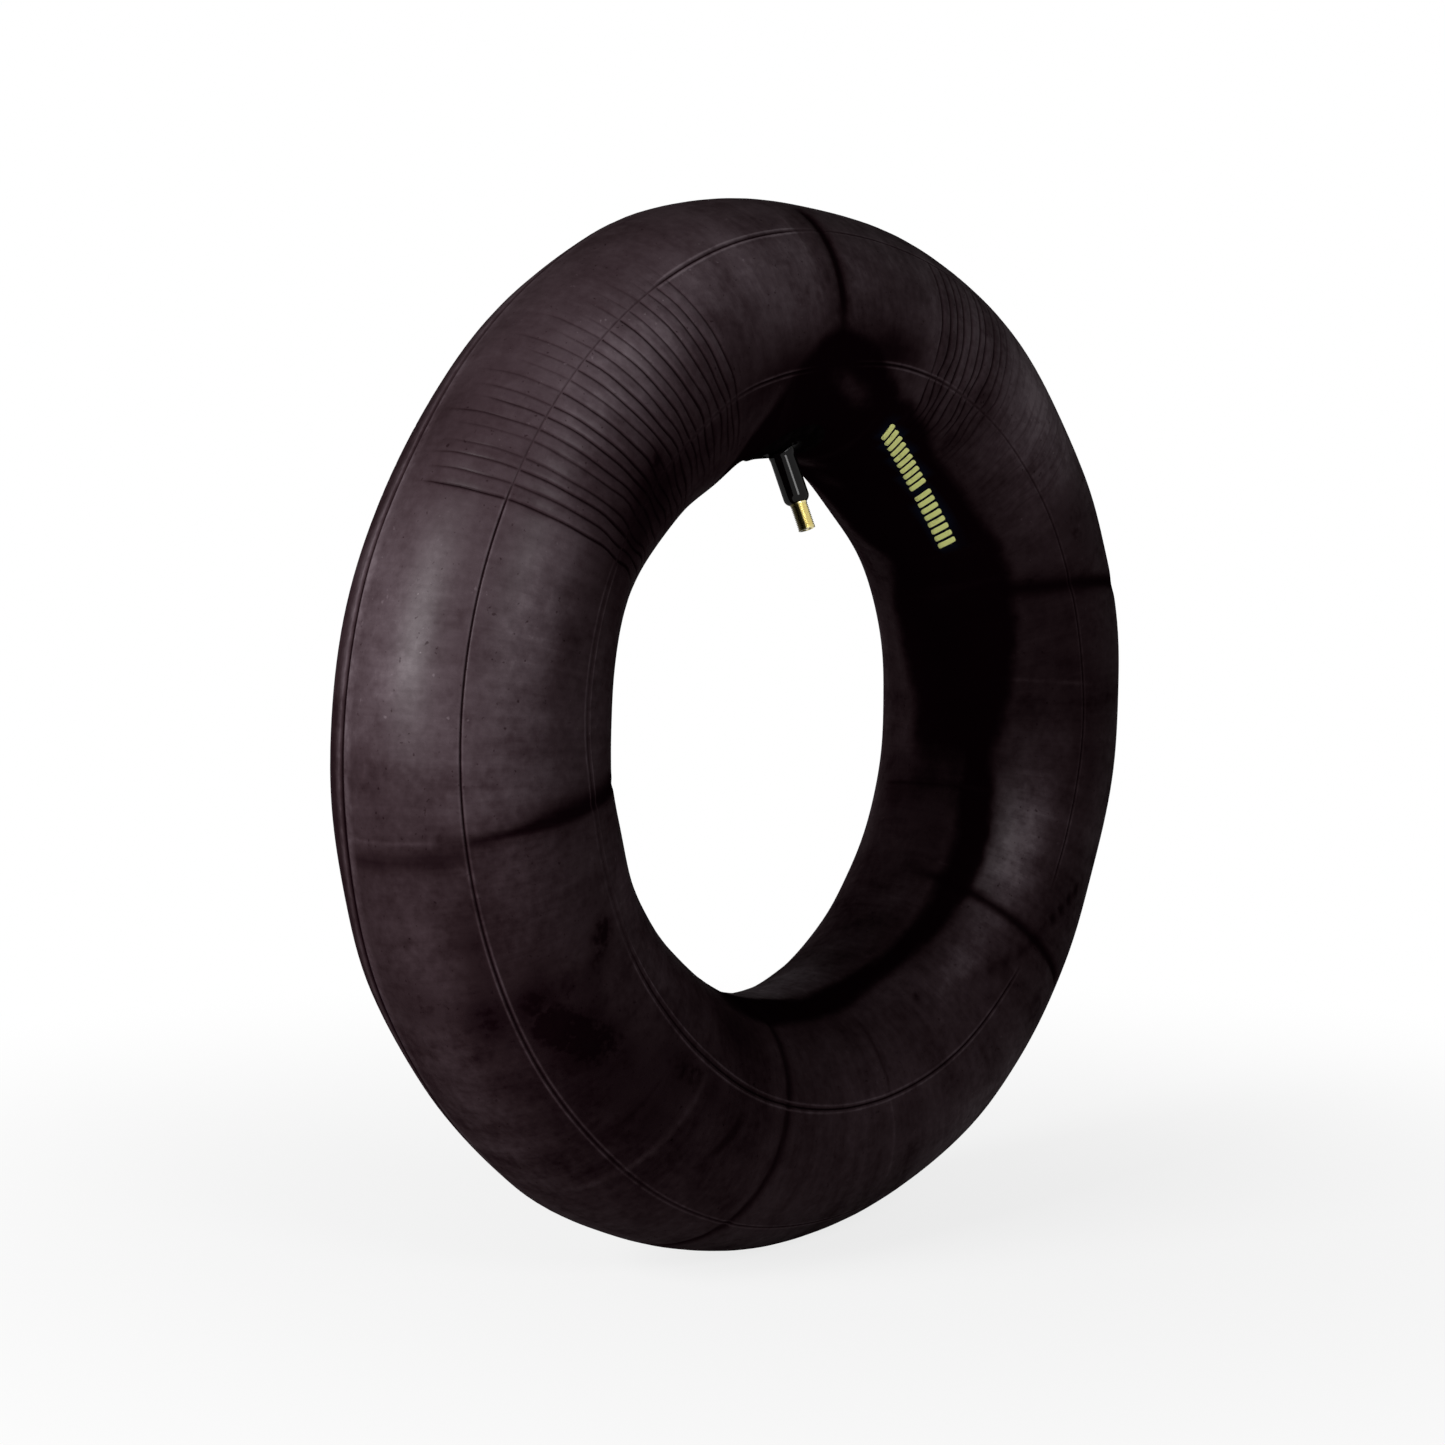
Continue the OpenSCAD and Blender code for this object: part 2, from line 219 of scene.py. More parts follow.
def join(pieces: Sequence[bpy.types.Object], name: str) -> bpy.types.Object:
    """Joins pieces into one, and gives it a name.

    Args:
        pieces: The pieces, of which the first takes in the rest.
        name: The joined piece's name.

    Returns:
        The joined piece.
    """
    with bpy.context.temp_override(active_object=pieces[0], selected_editable_objects=list(pieces)):
        bpy.ops.object.join()
    pieces[0].name = name
    pieces[0].data.name = name
    return pieces[0]


# Materials


class Wire:
    """A number that runs through a material. Working with it adds Math nodes."""

    def __init__(self, shader: "Shader", socket: bpy.types.NodeSocket) -> None:
        """Keeps the socket that the number comes out of."""
        self.shader = shader
        self.socket = socket

    def math(self, operation: str, *values: Value) -> "Wire":
        """Adds a Math node on this number and the others, and returns what comes out."""
        inputs = dict(enumerate((self, *values)))
        return self.shader.wire("ShaderNodeMath", {"operation": operation}, inputs)

    def __add__(self, other: Value) -> "Wire":
        """The sum."""
        return self.math("ADD", other)

    def __sub__(self, other: Value) -> "Wire":
        """The difference."""
        return self.math("SUBTRACT", other)

    def __rsub__(self, other: float) -> "Wire":
        """A plain number less this one."""
        return (self * -1.0).math("ADD", other)

    def __mul__(self, other: Value) -> "Wire":
        """The product."""
        return self.math("MULTIPLY", other)

    __radd__ = __add__
    __rmul__ = __mul__

    def clamp(self) -> "Wire":
        """The number held between 0 and 1."""
        return self.math("MAXIMUM", 0.0).math("MINIMUM", 1.0)

    def step(self, low: float, high: float) -> "Wire":
        """A smooth rise from 0 at low to 1 at high."""
        inputs = {"Value": self, "From Min": low, "From Max": high}
        return self.shader.wire("ShaderNodeMapRange", {"interpolation_type": "SMOOTHSTEP"}, inputs)


class Shader:
    """A material, or the world's light, that is put together node by node."""

    def __init__(self, name: str, world: bool = False) -> None:
        """Makes an empty material or world with an output.

        Args:
            name: Its name.
            world: Whether it is the world's light.
        """
        self.owner = (bpy.data.worlds if world else bpy.data.materials).new(name)
        self.owner.use_nodes = True
        self.tree = self.owner.node_tree
        self.tree.nodes.clear()
        self.output = self.tree.nodes.new(f"ShaderNodeOutput{'World' if world else 'Material'}")

    def node(
        self,
        kind: str,
        settings: dict[str, Any] | None = None,
        inputs: dict[Union[str, int], Any] | None = None,
    ) -> bpy.types.Node:
        """Adds a node.

        Args:
            kind: The node's type.
            settings: Its own choices, set first. "stops" holds a colour ramp's (place, colour).
            inputs: A number, colour, Wire or socket for each input, by name or number.

        Returns:
            The new node.
        """
        node = self.tree.nodes.new(kind)
        for key, value in (settings or {}).items():
            if key != "stops":
                setattr(node, key, value)
                continue
            for number, (place, colour) in enumerate(value):
                stops = node.color_ramp.elements
                stop = stops[number] if number < len(stops) else stops.new(place)
                stop.position = place
                stop.color = (*colour, 1.0)
        for key, value in (inputs or {}).items():
            socket = value.socket if isinstance(value, Wire) else value
            if isinstance(socket, bpy.types.NodeSocket):
                self.tree.links.new(socket, node.inputs[key])
            elif isinstance(socket, tuple) and node.inputs[key].type == "RGBA":
                node.inputs[key].default_value = (*socket, 1.0)
            else:
                node.inputs[key].default_value = socket
        return node

    def wire(self, kind: str, settings: dict[str, Any], inputs: dict[Any, Any], output: int = 0) -> Wire:
        """Adds a node, and returns one of its outputs as a Wire."""
        return Wire(self, self.node(kind, settings, inputs).outputs[output])

    def attribute(self, name: str, vector: bool = False) -> Any:
        """What the mesh holds under a name, as a Wire, or as a socket if it is a vector."""
        node = self.node("ShaderNodeAttribute", {"attribute_name": name})
        return node.outputs["Vector"] if vector else Wire(self, node.outputs["Fac"])

    def place(self) -> bpy.types.NodeSocket:
        """The point on the piece, in metres."""
        return self.node("ShaderNodeTexCoord").outputs["Object"]

    def noise(
        self,
        vector: bpy.types.NodeSocket,
        scale: float,
        detail: float = 3.0,
        rough: float = 0.5,
        fourth: Value | None = None,
    ) -> Wire:
        """Cloudy noise around 0.5.

        Args:
            vector: Where to read it.
            scale: Clouds to a metre.
            detail: How many finer layers it has.
            rough: How strong each finer layer is.
            fourth: A fourth coordinate, for noise that closes round a ring.

        Returns:
            The noise.
        """
        settings = {"noise_dimensions": "3D" if fourth is None else "4D"}
        inputs = {"Vector": vector, "Scale": scale, "Detail": detail, "Roughness": rough}
        if fourth is not None:
            inputs["W"] = fourth
        return self.wire("ShaderNodeTexNoise", settings, inputs)

    def ramp(self, factor: Value, stops: Sequence[tuple[float, Colour]]) -> bpy.types.NodeSocket:
        """A colour that follows factor through the stops."""
        return self.node("ShaderNodeValToRGB", {"stops": stops}, {"Fac": factor}).outputs["Color"]

    def mix(self, factor: Value, first: Any, second: Any) -> bpy.types.NodeSocket:
        """The first colour where factor is 0, and the second where it is 1."""
        node = self.node("ShaderNodeMix", {"data_type": "RGBA"}, {"Factor": factor, 6: first, 7: second})
        return node.outputs[2]

    def relief(self, height: Wire) -> bpy.types.NodeSocket:
        """A normal that shows a height in metres as relief."""
        inputs = {"Height": height, "Strength": 1.0, "Distance": 1.0}
        return self.node("ShaderNodeBump", None, inputs).outputs["Normal"]

    def end(self, node: bpy.types.Node) -> None:
        """Ends the tree in what comes out of a node."""
        self.tree.links.new(node.outputs[0], self.output.inputs[0])

    def finish(self, inputs: dict[str, Any], piece: bpy.types.Object) -> None:
        """Ends the material in a Principled shader, and puts it on a piece.

        Args:
            inputs: The shader's inputs by name.
            piece: What takes the material, in place of any that it has.
        """
        self.end(self.node("ShaderNodeBsdfPrincipled", None, inputs))
        piece.data.materials.clear()
        piece.data.materials.append(self.owner)


@dataclass(frozen=True)
class TubeRubber:
    """Butyl rubber as it comes out of a steel mould, under a grey bloom of uneven thickness, into which light and
    shade are painted as well.

    Noises are counted to the metre. Steps are where one starts to show and where it is whole, and
    what something takes, gains, loses or keeps is a share of the bloom and the light painted into it. A mix says
    how much each noise counts, and the relief's mix is in millimetres.
    """

    colours: tuple[tuple[float, Colour], ...] = (
        (0.0, (0.0028, 0.0005, 0.0013)),
        (0.2, (0.0150, 0.0078, 0.0094)),
        (0.4, (0.0285, 0.0168, 0.0202)),
        (0.7, (0.0560, 0.0385, 0.0450)),
        (1.0, (0.0960, 0.0720, 0.0815)),
    )
    print_ground: Colour = (0.0036, 0.0050, 0.0110)
    roughness: float = 0.42
    bare: float = 0.08
    polish: float = 0.22
    polish_ior: float = 1.7
    polish_roughness: float = 0.38
    fine_streak: Point = (520.0, 520.0, 42.0)
    broad_streak: Point = (75.0, 75.0, 9.0)
    clouds: float = 13.0
    patches: float = 60.0
    pebbles: float = 280.0
    grains: float = 1500.0
    specks: float = 520.0
    flecks: float = 340.0
    # how far painted shade darkens the colour in the creases
    crease_shade: float = 0.93
    grime_takes: float = 0.86
    # how far painted shade darkens the colour in the vent and moulding-line grooves
    groove_shade: float = 0.92
    # how far the painted shade on the rim side round the valve darkens the colour
    painted_shade_strength: float = 0.97
    # how far lips and fine ridges are painted lighter, as a painted highlight
    lip_highlight: float = 0.36
    lip_base: float = 0.75
    lip_loses: float = 0.8
    speck_takes: float = 0.45
    fleck_gains: float = 0.7
    streak_keeps: float = 0.14
    speck_steps: tuple[float, float] = (0.70, 0.80)
    fleck_steps: tuple[float, float] = (0.69, 0.78)
    fleck_clouds: tuple[float, float] = (-0.02, 0.12)
    grime_steps: tuple[float, float] = (0.02, 1.05)
    painted_shade_steps: tuple[float, float] = (0.1, 0.9)
    streak_steps: tuple[float, float] = (0.05, 0.3)
    bloom_mix: Mix = (("cloud", 1.8), ("patch", 1.6), ("broad", 1.2), ("fine", 0.6), ("pebble", 0.9))
    grime_mix: Mix = (("patch", 4.2), ("pebble", 3.2), ("fine", 1.2))
    painted_shade_mix: Mix = (("cloud", 4.0), ("patch", 4.0), ("broad", 3.0))
    lip_mix: Mix = (("patch", 1.6), ("pebble", 1.0))
    rough_mix: Mix = (("patch", 0.3), ("cloud", 0.15), ("crease", 0.12), ("speck", 0.1))
    relief_mix: Mix = (("grain", 0.03), ("pebble", 0.10), ("patch", 0.40), ("fine", 0.03))

    def streaks(self, shader: Shader, reach: Point, detail: float) -> Wire:
        """Noise drawn out round the section, on coordinates that close round the ring both ways.

        Args:
            shader: The material.
            reach: Streaks to a metre along the centre circle's two axes and the section's.
            detail: How many finer layers the streaks have.

        Returns:
            The streaks, around 0.
        """
        inputs = {0: shader.attribute("wrap", vector=True), 1: reach}
        wrap = shader.wire("ShaderNodeVectorMath", {"operation": "MULTIPLY"}, inputs).socket
        fourth = shader.attribute("wrap_depth") * reach[2]
        return shader.noise(wrap, 1.0, detail, rough=0.6, fourth=fourth) - 0.5

    def dress(self, piece: bpy.types.Object) -> None:
        """Puts the rubber on the skin.

        The piece says how thick the bloom is, with painted highlights and painted shade in the same field. Clouds,
        streaks and pebbles make it uneven, and smudges of grime darken it. Lips and fine ridges are painted
        lighter as painted highlights, and grooves, creases and the rim side round the valve are painted darker as
        painted shade.
        Colour follows this field through five stops, and the polish is strongest where it is high.

        Args:
            piece: The skin, with the fields that TubeSkin works out.
        """
        shader = Shader("tube_rubber")
        place = shader.place()
        crease = shader.attribute("crease")
        noises = {
            "fine": self.streaks(shader, self.fine_streak, 3.0),
            "broad": self.streaks(shader, self.broad_streak, 2.0),
            "cloud": shader.noise(place, self.clouds, 5.0, 0.62) - 0.5,
            "patch": shader.noise(place, self.patches, 5.0, 0.68) - 0.5,
            "pebble": shader.noise(place, self.pebbles) - 0.5,
            "grain": shader.noise(place, self.grains, 2.0) - 0.5,
            "speck": shader.noise(place, self.specks, 1.0).step(*self.speck_steps),
            "crease": crease,
        }

        def mixed(base: float, mix: Mix) -> Value:
            """The base, with each noise of the mix added as many times as its weight says."""
            return sum((noises[name] * weight for name, weight in mix), start=base)

        fleck = shader.noise(place, self.flecks, 2.0).step(*self.fleck_steps)
        fleck = fleck * noises["cloud"].step(*self.fleck_clouds)
        grime = (shader.attribute("grime") * mixed(1.0, self.grime_mix)).step(*self.grime_steps)
        # painted shade on the rim side round the valve's foot, with its edge broken up by noise
        edge = shader.attribute("wiped")
        wiped = (edge + edge * (1.0 - edge) * mixed(0.0, self.painted_shade_mix)).step(*self.painted_shade_steps)
        uneven = 1.0 + mixed(0.0, self.bloom_mix) * shader.attribute("mottle")
        uneven = uneven - noises["speck"] * self.speck_takes + fleck * self.fleck_gains
        streak = noises["broad"].step(*self.streak_steps) * self.streak_keeps
        # the bloom field carries painted highlights and painted shade as well as the grey bloom
        bloom = shader.attribute("bloom") * uneven
        # creases are painted darker as painted shade, and grime smudges darken the colour as well
        bloom = bloom * (1.0 - crease * self.crease_shade) * (1.0 - grime * self.grime_takes)
        # the grooves are painted darker as painted shade
        bloom = bloom * (1.0 - shader.attribute("groove") * self.groove_shade)
        # the rim side round the valve is painted darker as painted shade, a little less along broad streaks
        bloom = bloom * (1.0 - wiped * (self.painted_shade_strength - streak))
        # lips and fine ridges are painted lighter as a painted highlight, less so in the painted shade round the
        # valve
        lip = (shader.attribute("lip") * mixed(self.lip_base, self.lip_mix)).clamp()
        bloom = (bloom + lip * (1.0 - wiped * self.lip_loses) * self.lip_highlight).clamp()
        colour = shader.ramp(bloom, self.colours)
        colour = shader.mix(shader.attribute("print_ground"), colour, self.print_ground)
        shine = (bloom - self.bare) * shader.attribute("lustre") * self.polish
        inputs = {
            "Base Color": colour,
            "Roughness": mixed(self.roughness, self.rough_mix).clamp(),
            "Specular IOR Level": 0.0,
            "Coat Weight": shine.clamp(),
            "Coat IOR": self.polish_ior,
            "Coat Roughness": self.polish_roughness,
            "Normal": shader.relief(mixed(0.0, self.relief_mix) * MM),
        }
        shader.finish(inputs, piece)


@dataclass(frozen=True)
class SmallFinish:
    """The finish of a small moulded or printed piece: two colours in clouds, and a fine grain.

    The second colour shows where the clouds, broken up by the grain, pass from one worn level to
    the other. Rises are in millimetres.
    """

    name: str
    colour: Colour
    faded: Colour
    roughness: float
    gloss: float = 0.5
    clouds: float = 160.0
    grains: float = 3500.0
    worn: tuple[float, float] = (0.35, 0.75)
    broken: float = 0.0
    cloud_rough: float = 0.25
    grain_rough: float = 0.0
    cloud_rise: float = 0.0
    grain_rise: float = 0.015
    polish: float = 0.0
    polish_ior: float = 2.0
    polish_roughness: float = 0.1

    def dress(self, piece: bpy.types.Object) -> None:
        """Puts the finish on a piece.

        Args:
            piece: What takes it. It says where it is polished, if the finish has a polish.
        """
        shader = Shader(self.name)
        place = shader.place()
        cloud = shader.noise(place, self.clouds, detail=4.0, rough=0.6)
        grain = shader.noise(place, self.grains, detail=2.0) - 0.5
        worn = (cloud + grain * self.broken).step(*self.worn)
        roughness = self.roughness + (cloud - 0.5) * self.cloud_rough + grain * self.grain_rough
        inputs = {
            "Base Color": shader.mix(worn, self.colour, self.faded),
            "Roughness": roughness.clamp(),
            "Specular IOR Level": self.gloss,
            "Normal": shader.relief((grain * self.grain_rise + cloud * self.cloud_rise) * MM),
        }
        if self.polish:
            inputs["Coat Weight"] = (shader.attribute("polish") * self.polish).clamp()
            inputs["Coat IOR"] = self.polish_ior
            inputs["Coat Roughness"] = self.polish_roughness
        shader.finish(inputs, piece)


@dataclass(frozen=True)
class TurnedMetal:
    """Metal off a lathe: fine rings along the valve's axis, and tarnish in patches.

    The tarnish shows where the clouds, broken up by the scratches, pass from one worn level to
    the other. One side can be painted dark, a painted reflection with a ragged edge. Rises are in millimetres.
    """

    name: str
    colour: Colour
    tarnish: Colour
    roughness: float
    tarnish_share: float = 0.5
    # dark colour painted down one side of the piece, a painted reflection
    patina: Colour | None = None
    ring_gap: float = 0.09 * MM
    ring_rise: float = 0.0008
    clouds: float = 190.0
    scratches: float = 2600.0
    scratch_rise: float = 0.002
    scratch_rough: float = 0.12
    worn: tuple[float, float] = (0.42, 0.78)
    worn_rough: float = 0.35
    broken: float = 0.3
    ragged: float = 0.4

    def dress(self, piece: bpy.types.Object) -> None:
        """Puts the metal on a piece.

        Args:
            piece: What takes it. It says which side is painted dark as a painted reflection, if the metal has that
                colour.
        """
        shader = Shader(self.name)
        place = shader.place()
        axis = tuple(Ring.from_frame().valve_axis())
        along = shader.wire("ShaderNodeVectorMath", {"operation": "DOT_PRODUCT"}, {0: place, 1: axis}, 1)
        rings = (along * (2.0 * math.pi / self.ring_gap)).math("SINE")
        cloud = shader.noise(place, self.clouds, detail=4.0, rough=0.55)
        scratch = shader.noise(place, self.scratches, detail=2.0) - 0.5
        worn = (cloud + scratch * self.broken).step(*self.worn) * self.tarnish_share
        colour = shader.mix(worn, self.colour, self.tarnish)
        # one side is painted dark as a painted reflection, with a ragged edge
        if self.patina:
            share = (shader.attribute("patina") + (cloud - 0.5) * self.ragged).step(0.3, 0.7)
            colour = shader.mix(share, colour, self.patina)
        inputs = {
            "Base Color": colour,
            "Metallic": 1.0,
            "Roughness": (self.roughness + worn * self.worn_rough + scratch * self.scratch_rough).clamp(),
            "Normal": shader.relief((rings * self.ring_rise + scratch * self.scratch_rise) * MM),
        }
        shader.finish(inputs, piece)


GASKET_RED = SmallFinish("gasket_rubber", (0.36, 0.055, 0.035), (0.46, 0.10, 0.07), 0.5)
SEAL_BLACK = SmallFinish("seal_rubber", (0.014, 0.014, 0.014), (0.03, 0.03, 0.03), 0.5)
STEM_BLACK = SmallFinish(
    "valve_rubber", (0.0018, 0.0010, 0.0013), (0.0048, 0.0032, 0.0038), 0.55, gloss=0.0, grains=2600.0,
    worn=(0.4, 0.8), cloud_rough=0.3, cloud_rise=0.05, grain_rise=0.008, polish=0.12,
)
PRINT_INK = SmallFinish(
    "print_ink", (0.86, 0.90, 0.31), (0.58, 0.61, 0.20), 0.55, gloss=0.3, clouds=240.0, grains=2200.0,
    worn=(0.52, 0.80), broken=0.6, cloud_rough=0.0, grain_rough=0.2, grain_rise=0.02,
)
# the brass's last colour is its painted dark reflection down one side
BRASS = TurnedMetal("brass", (0.80, 0.70, 0.34), (0.50, 0.42, 0.17), 0.26, 0.35, (0.07, 0.058, 0.022))
CORE_BRASS = TurnedMetal("core_brass", (0.72, 0.56, 0.24), (0.40, 0.28, 0.11), 0.26)
STEEL = TurnedMetal("steel", (0.62, 0.61, 0.60), (0.34, 0.32, 0.30), 0.28, 0.35)


# The ring


@dataclass(frozen=True)
class Ring:
    """The blown-up ring's sizes and the valve's place on it, as the frame has them."""

    centre_r: float
    section_r: float
    valve_turn: float
    valve_lean: float

    @classmethod
    def from_frame(cls) -> "Ring":
        """Reads the ring from its box, and the valve's direction from the joint of its pin.

        Returns:
            The ring.
        """
        low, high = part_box("tube_wall")
        section_r = (high.y - low.y) / 2.0
        away = -np.array(frame["joints"][0]["axis"], float)
        return cls(
            centre_r=(high.x - low.x) / 2.0 - section_r,
            section_r=section_r,
            valve_turn=math.degrees(math.atan2(-away[2], -away[0])),
            valve_lean=180.0 - math.degrees(math.asin(-away[1])),
        )

    def radial(self, turn: Array) -> Array:
        """Direction straight out from the wheel axis at a turn."""
        t = np.radians(turn)
        return np.stack([np.cos(t), np.zeros_like(t), np.sin(t)], axis=-1)

    def normal(self, turn: Array, lean: Array) -> Array:
        """Outward direction: cos(lean) times the wheel's radius, plus sin(lean) to the front."""
        s = np.radians(lean)
        return np.cos(s)[..., None] * self.radial(turn) + np.sin(s)[..., None] * WHEEL_AXIS

    def point(self, turn: Array, lean: Array, lift: Array) -> Array:
        """A point of the ring: out to the centre circle, then along the outward direction."""
        away = (self.section_r + lift)[..., None] * self.normal(turn, lean)
        return self.centre_r * self.radial(turn) + away

    def wheel_r(self, lean: Array) -> Array:
        """Distance from the wheel axis to the skin at a lean."""
        return self.centre_r + self.section_r * np.cos(np.radians(lean))

    def valve_axis(self) -> Array:
        """Direction in which the valve stands out of the skin."""
        return self.normal(np.array(self.valve_turn), np.array(self.valve_lean))

    def valve_foot(self) -> Array:
        """The point of the plain skin under the valve."""
        return self.point(np.array(self.valve_turn), np.array(self.valve_lean), np.array(0.0))


@dataclass(frozen=True)
class Crease:
    """A soft fold that packing left across the wall.

    It runs straight from one lean to another, and its depth follows a bell curve across it. Its shade is painted
    shade that darkens the fold along the same curve. A negative depth is a fine ridge, and a negative shade paints
    it paler than the wall, a painted highlight along the ridge.
    """

    leans: tuple[float, float]
    turns: tuple[float, float]
    width: float
    depth: float
    shade: float
    fade: float = 12.0
    swell_width: float = 2.6
    swell_share: float = 0.2

    def share(self, ring: Ring, turn: Array, lean: Array) -> Array:
        """How much of the crease is at each point.

        Args:
            ring: The ring that it lies on.
            turn: Angles round the wheel.
            lean: Angles round the section.

        Returns:
            The shares, from 0 to 1.
        """
        middle = sum(self.leans) / 2.0
        lean = turn_gap(lean, middle) + middle
        along = (lean - self.leans[0]) / (self.leans[1] - self.leans[0])
        middle = self.turns[0] + along * (self.turns[1] - self.turns[0])
        across = np.radians(turn_gap(turn, middle)) * ring.wheel_r(lean)
        start = smooth_step(lean, self.leans[0] - self.fade, self.leans[0] + self.fade)
        end = smooth_step(lean, self.leans[1] + self.fade, self.leans[1] - self.fade)
        return bell(across, self.width) * start * end

    def lift(self, ring: Ring, turn: Array, lean: Array) -> Array:
        """Height of the fold: its own depth, less the wider and flatter swell on each side."""
        wide = replace(self, width=self.swell_width * self.width).share(ring, turn, lean)
        return self.depth * (self.swell_share * wide - self.share(ring, turn, lean))


@dataclass(frozen=True)
class Patch:
    """A round or oval patch of the wall, for a soft swell, a smudge, a painted highlight or painted shade. Sizes
    are in degrees.
    """

    turn: float
    lean: float
    turn_size: float
    lean_size: float
    amount: float
    slant: float = 0.0

    def spread(self, turn: Array, lean: Array) -> Array:
        """The patch's amount times a bell curve both ways, slanted by so many turns a lean.

        Args:
            turn: Angles round the wheel.
            lean: Angles round the section.

        Returns:
            What the patch adds at each point.
        """
        up = turn_gap(lean, self.lean)
        along = turn_gap(turn, self.turn) - self.slant * up
        return self.amount * bell(along, self.turn_size) * bell(up, self.lean_size)


def creases(*rows: tuple[float, ...]) -> tuple[Crease, ...]:
    """Creases from rows: two leans, two turns, width and depth in millimetres, shade and fade."""
    return tuple(Crease(row[:2], row[2:4], row[4] * MM, row[5] * MM, *row[6:]) for row in rows)


def patches(*rows: tuple[float, ...], unit: float = 1.0) -> tuple[Patch, ...]:
    """Patches from rows: turn, lean, the two sizes, the amount in units, and the slant."""
    return tuple(Patch(*row[:4], row[4] * unit, *row[5:]) for row in rows)


# Rows: two leans, two turns, width and depth in millimetres, shade and fade. The shade is painted shade in the
# fold, a negative one a painted highlight on a ridge, and rows without depth are painted shade alone.
CREASES = creases(
    (50, 140, 15.4, 25.2, 4.2, 1, 1), (24, 90, 90.2, 93.2, 3.2, 0.8, 0.9),
    (26, 90, 92.6, 94.8, 8, 0, 0.35), (30, 86, 95.4, 97.2, 0.8, -0.15, -0.3, 6),
    (-14, 30, 187.1, 187, 0.7, -0.2, -0.6, 4), (-14, 44, 189.2, 188.4, 4.2, 0.1, 0.7, 6),
    (42, 150, 187.2, 184, 2.1, 0.5, 0.85, 8), (66, 150, 186, 182.6, 6.5, 0.2, 0.85, 16),
    (8, 150, 250.8, 256.6, 2.4, 0.9, 0.9), (60, 165, 320.2, 322.7, 2.8, 1.1, 0.95),
    (98, 122, 320.5, 304.5, 5, 0.2, 0.55, 6), (77, 97, 333.8, 323.6, 3.2, 0.5, 0.85, 4),
    (73, 92, 241.8, 244.2, 2.2, 0.2, 0.75, 4), (158, 205, 343.2, 342.6, 0.9, 0.3, 0.7, 3),
    (10, 102, 231.6, 234.4, 1.6, -0.25, -0.45), (62, 101, 278.6, 278.6, 0.9, -0.2, -0.35, 4),
    (101, 138, 279, 280.6, 0.9, 0.2, 0.5, 4), (98, 142, 4, 6.6, 0.9, -0.18, -0.35, 5),
    (18, 41, 151.7, 151.5, 0.5, -0.1, -0.6, 3), (45, 92, 118.3, 117.7, 0.6, -0.1, -0.3, 4),
    (75, 102, 72, 71.6, 0.7, -0.12, -0.4, 4), (152, 156.5, 314, 334, 0.6, -0.1, -0.5, 1),
)

SWELLS = patches(
    (232, 158, 27, 42, 3.9), (152, 134, 15, 34, -3.2), (120, 150, 8, 26, 2.2), (47, 216, 12, 30, 3),
    (83, 12, 10, 36, -1.5), (109, -14, 8, 34, 2.1), (146, -36, 12, 34, -1.4), (204, -34, 9, 34, 1.6),
    (238, -12, 7, 34, 1.3), (301, 44, 8, 34, 1.2), (336, 54, 9, 30, -1.6), (12, 53, 9, 30, 1.2),
    (56, 38, 10, 34, 1.3), (28, 52, 8, 20, 0.9), (193, 140, 9, 18, 1.4), (288, 48, 8, 20, 0.8),
    (346, 64, 7, 20, -0.7),
    unit=MM,
)

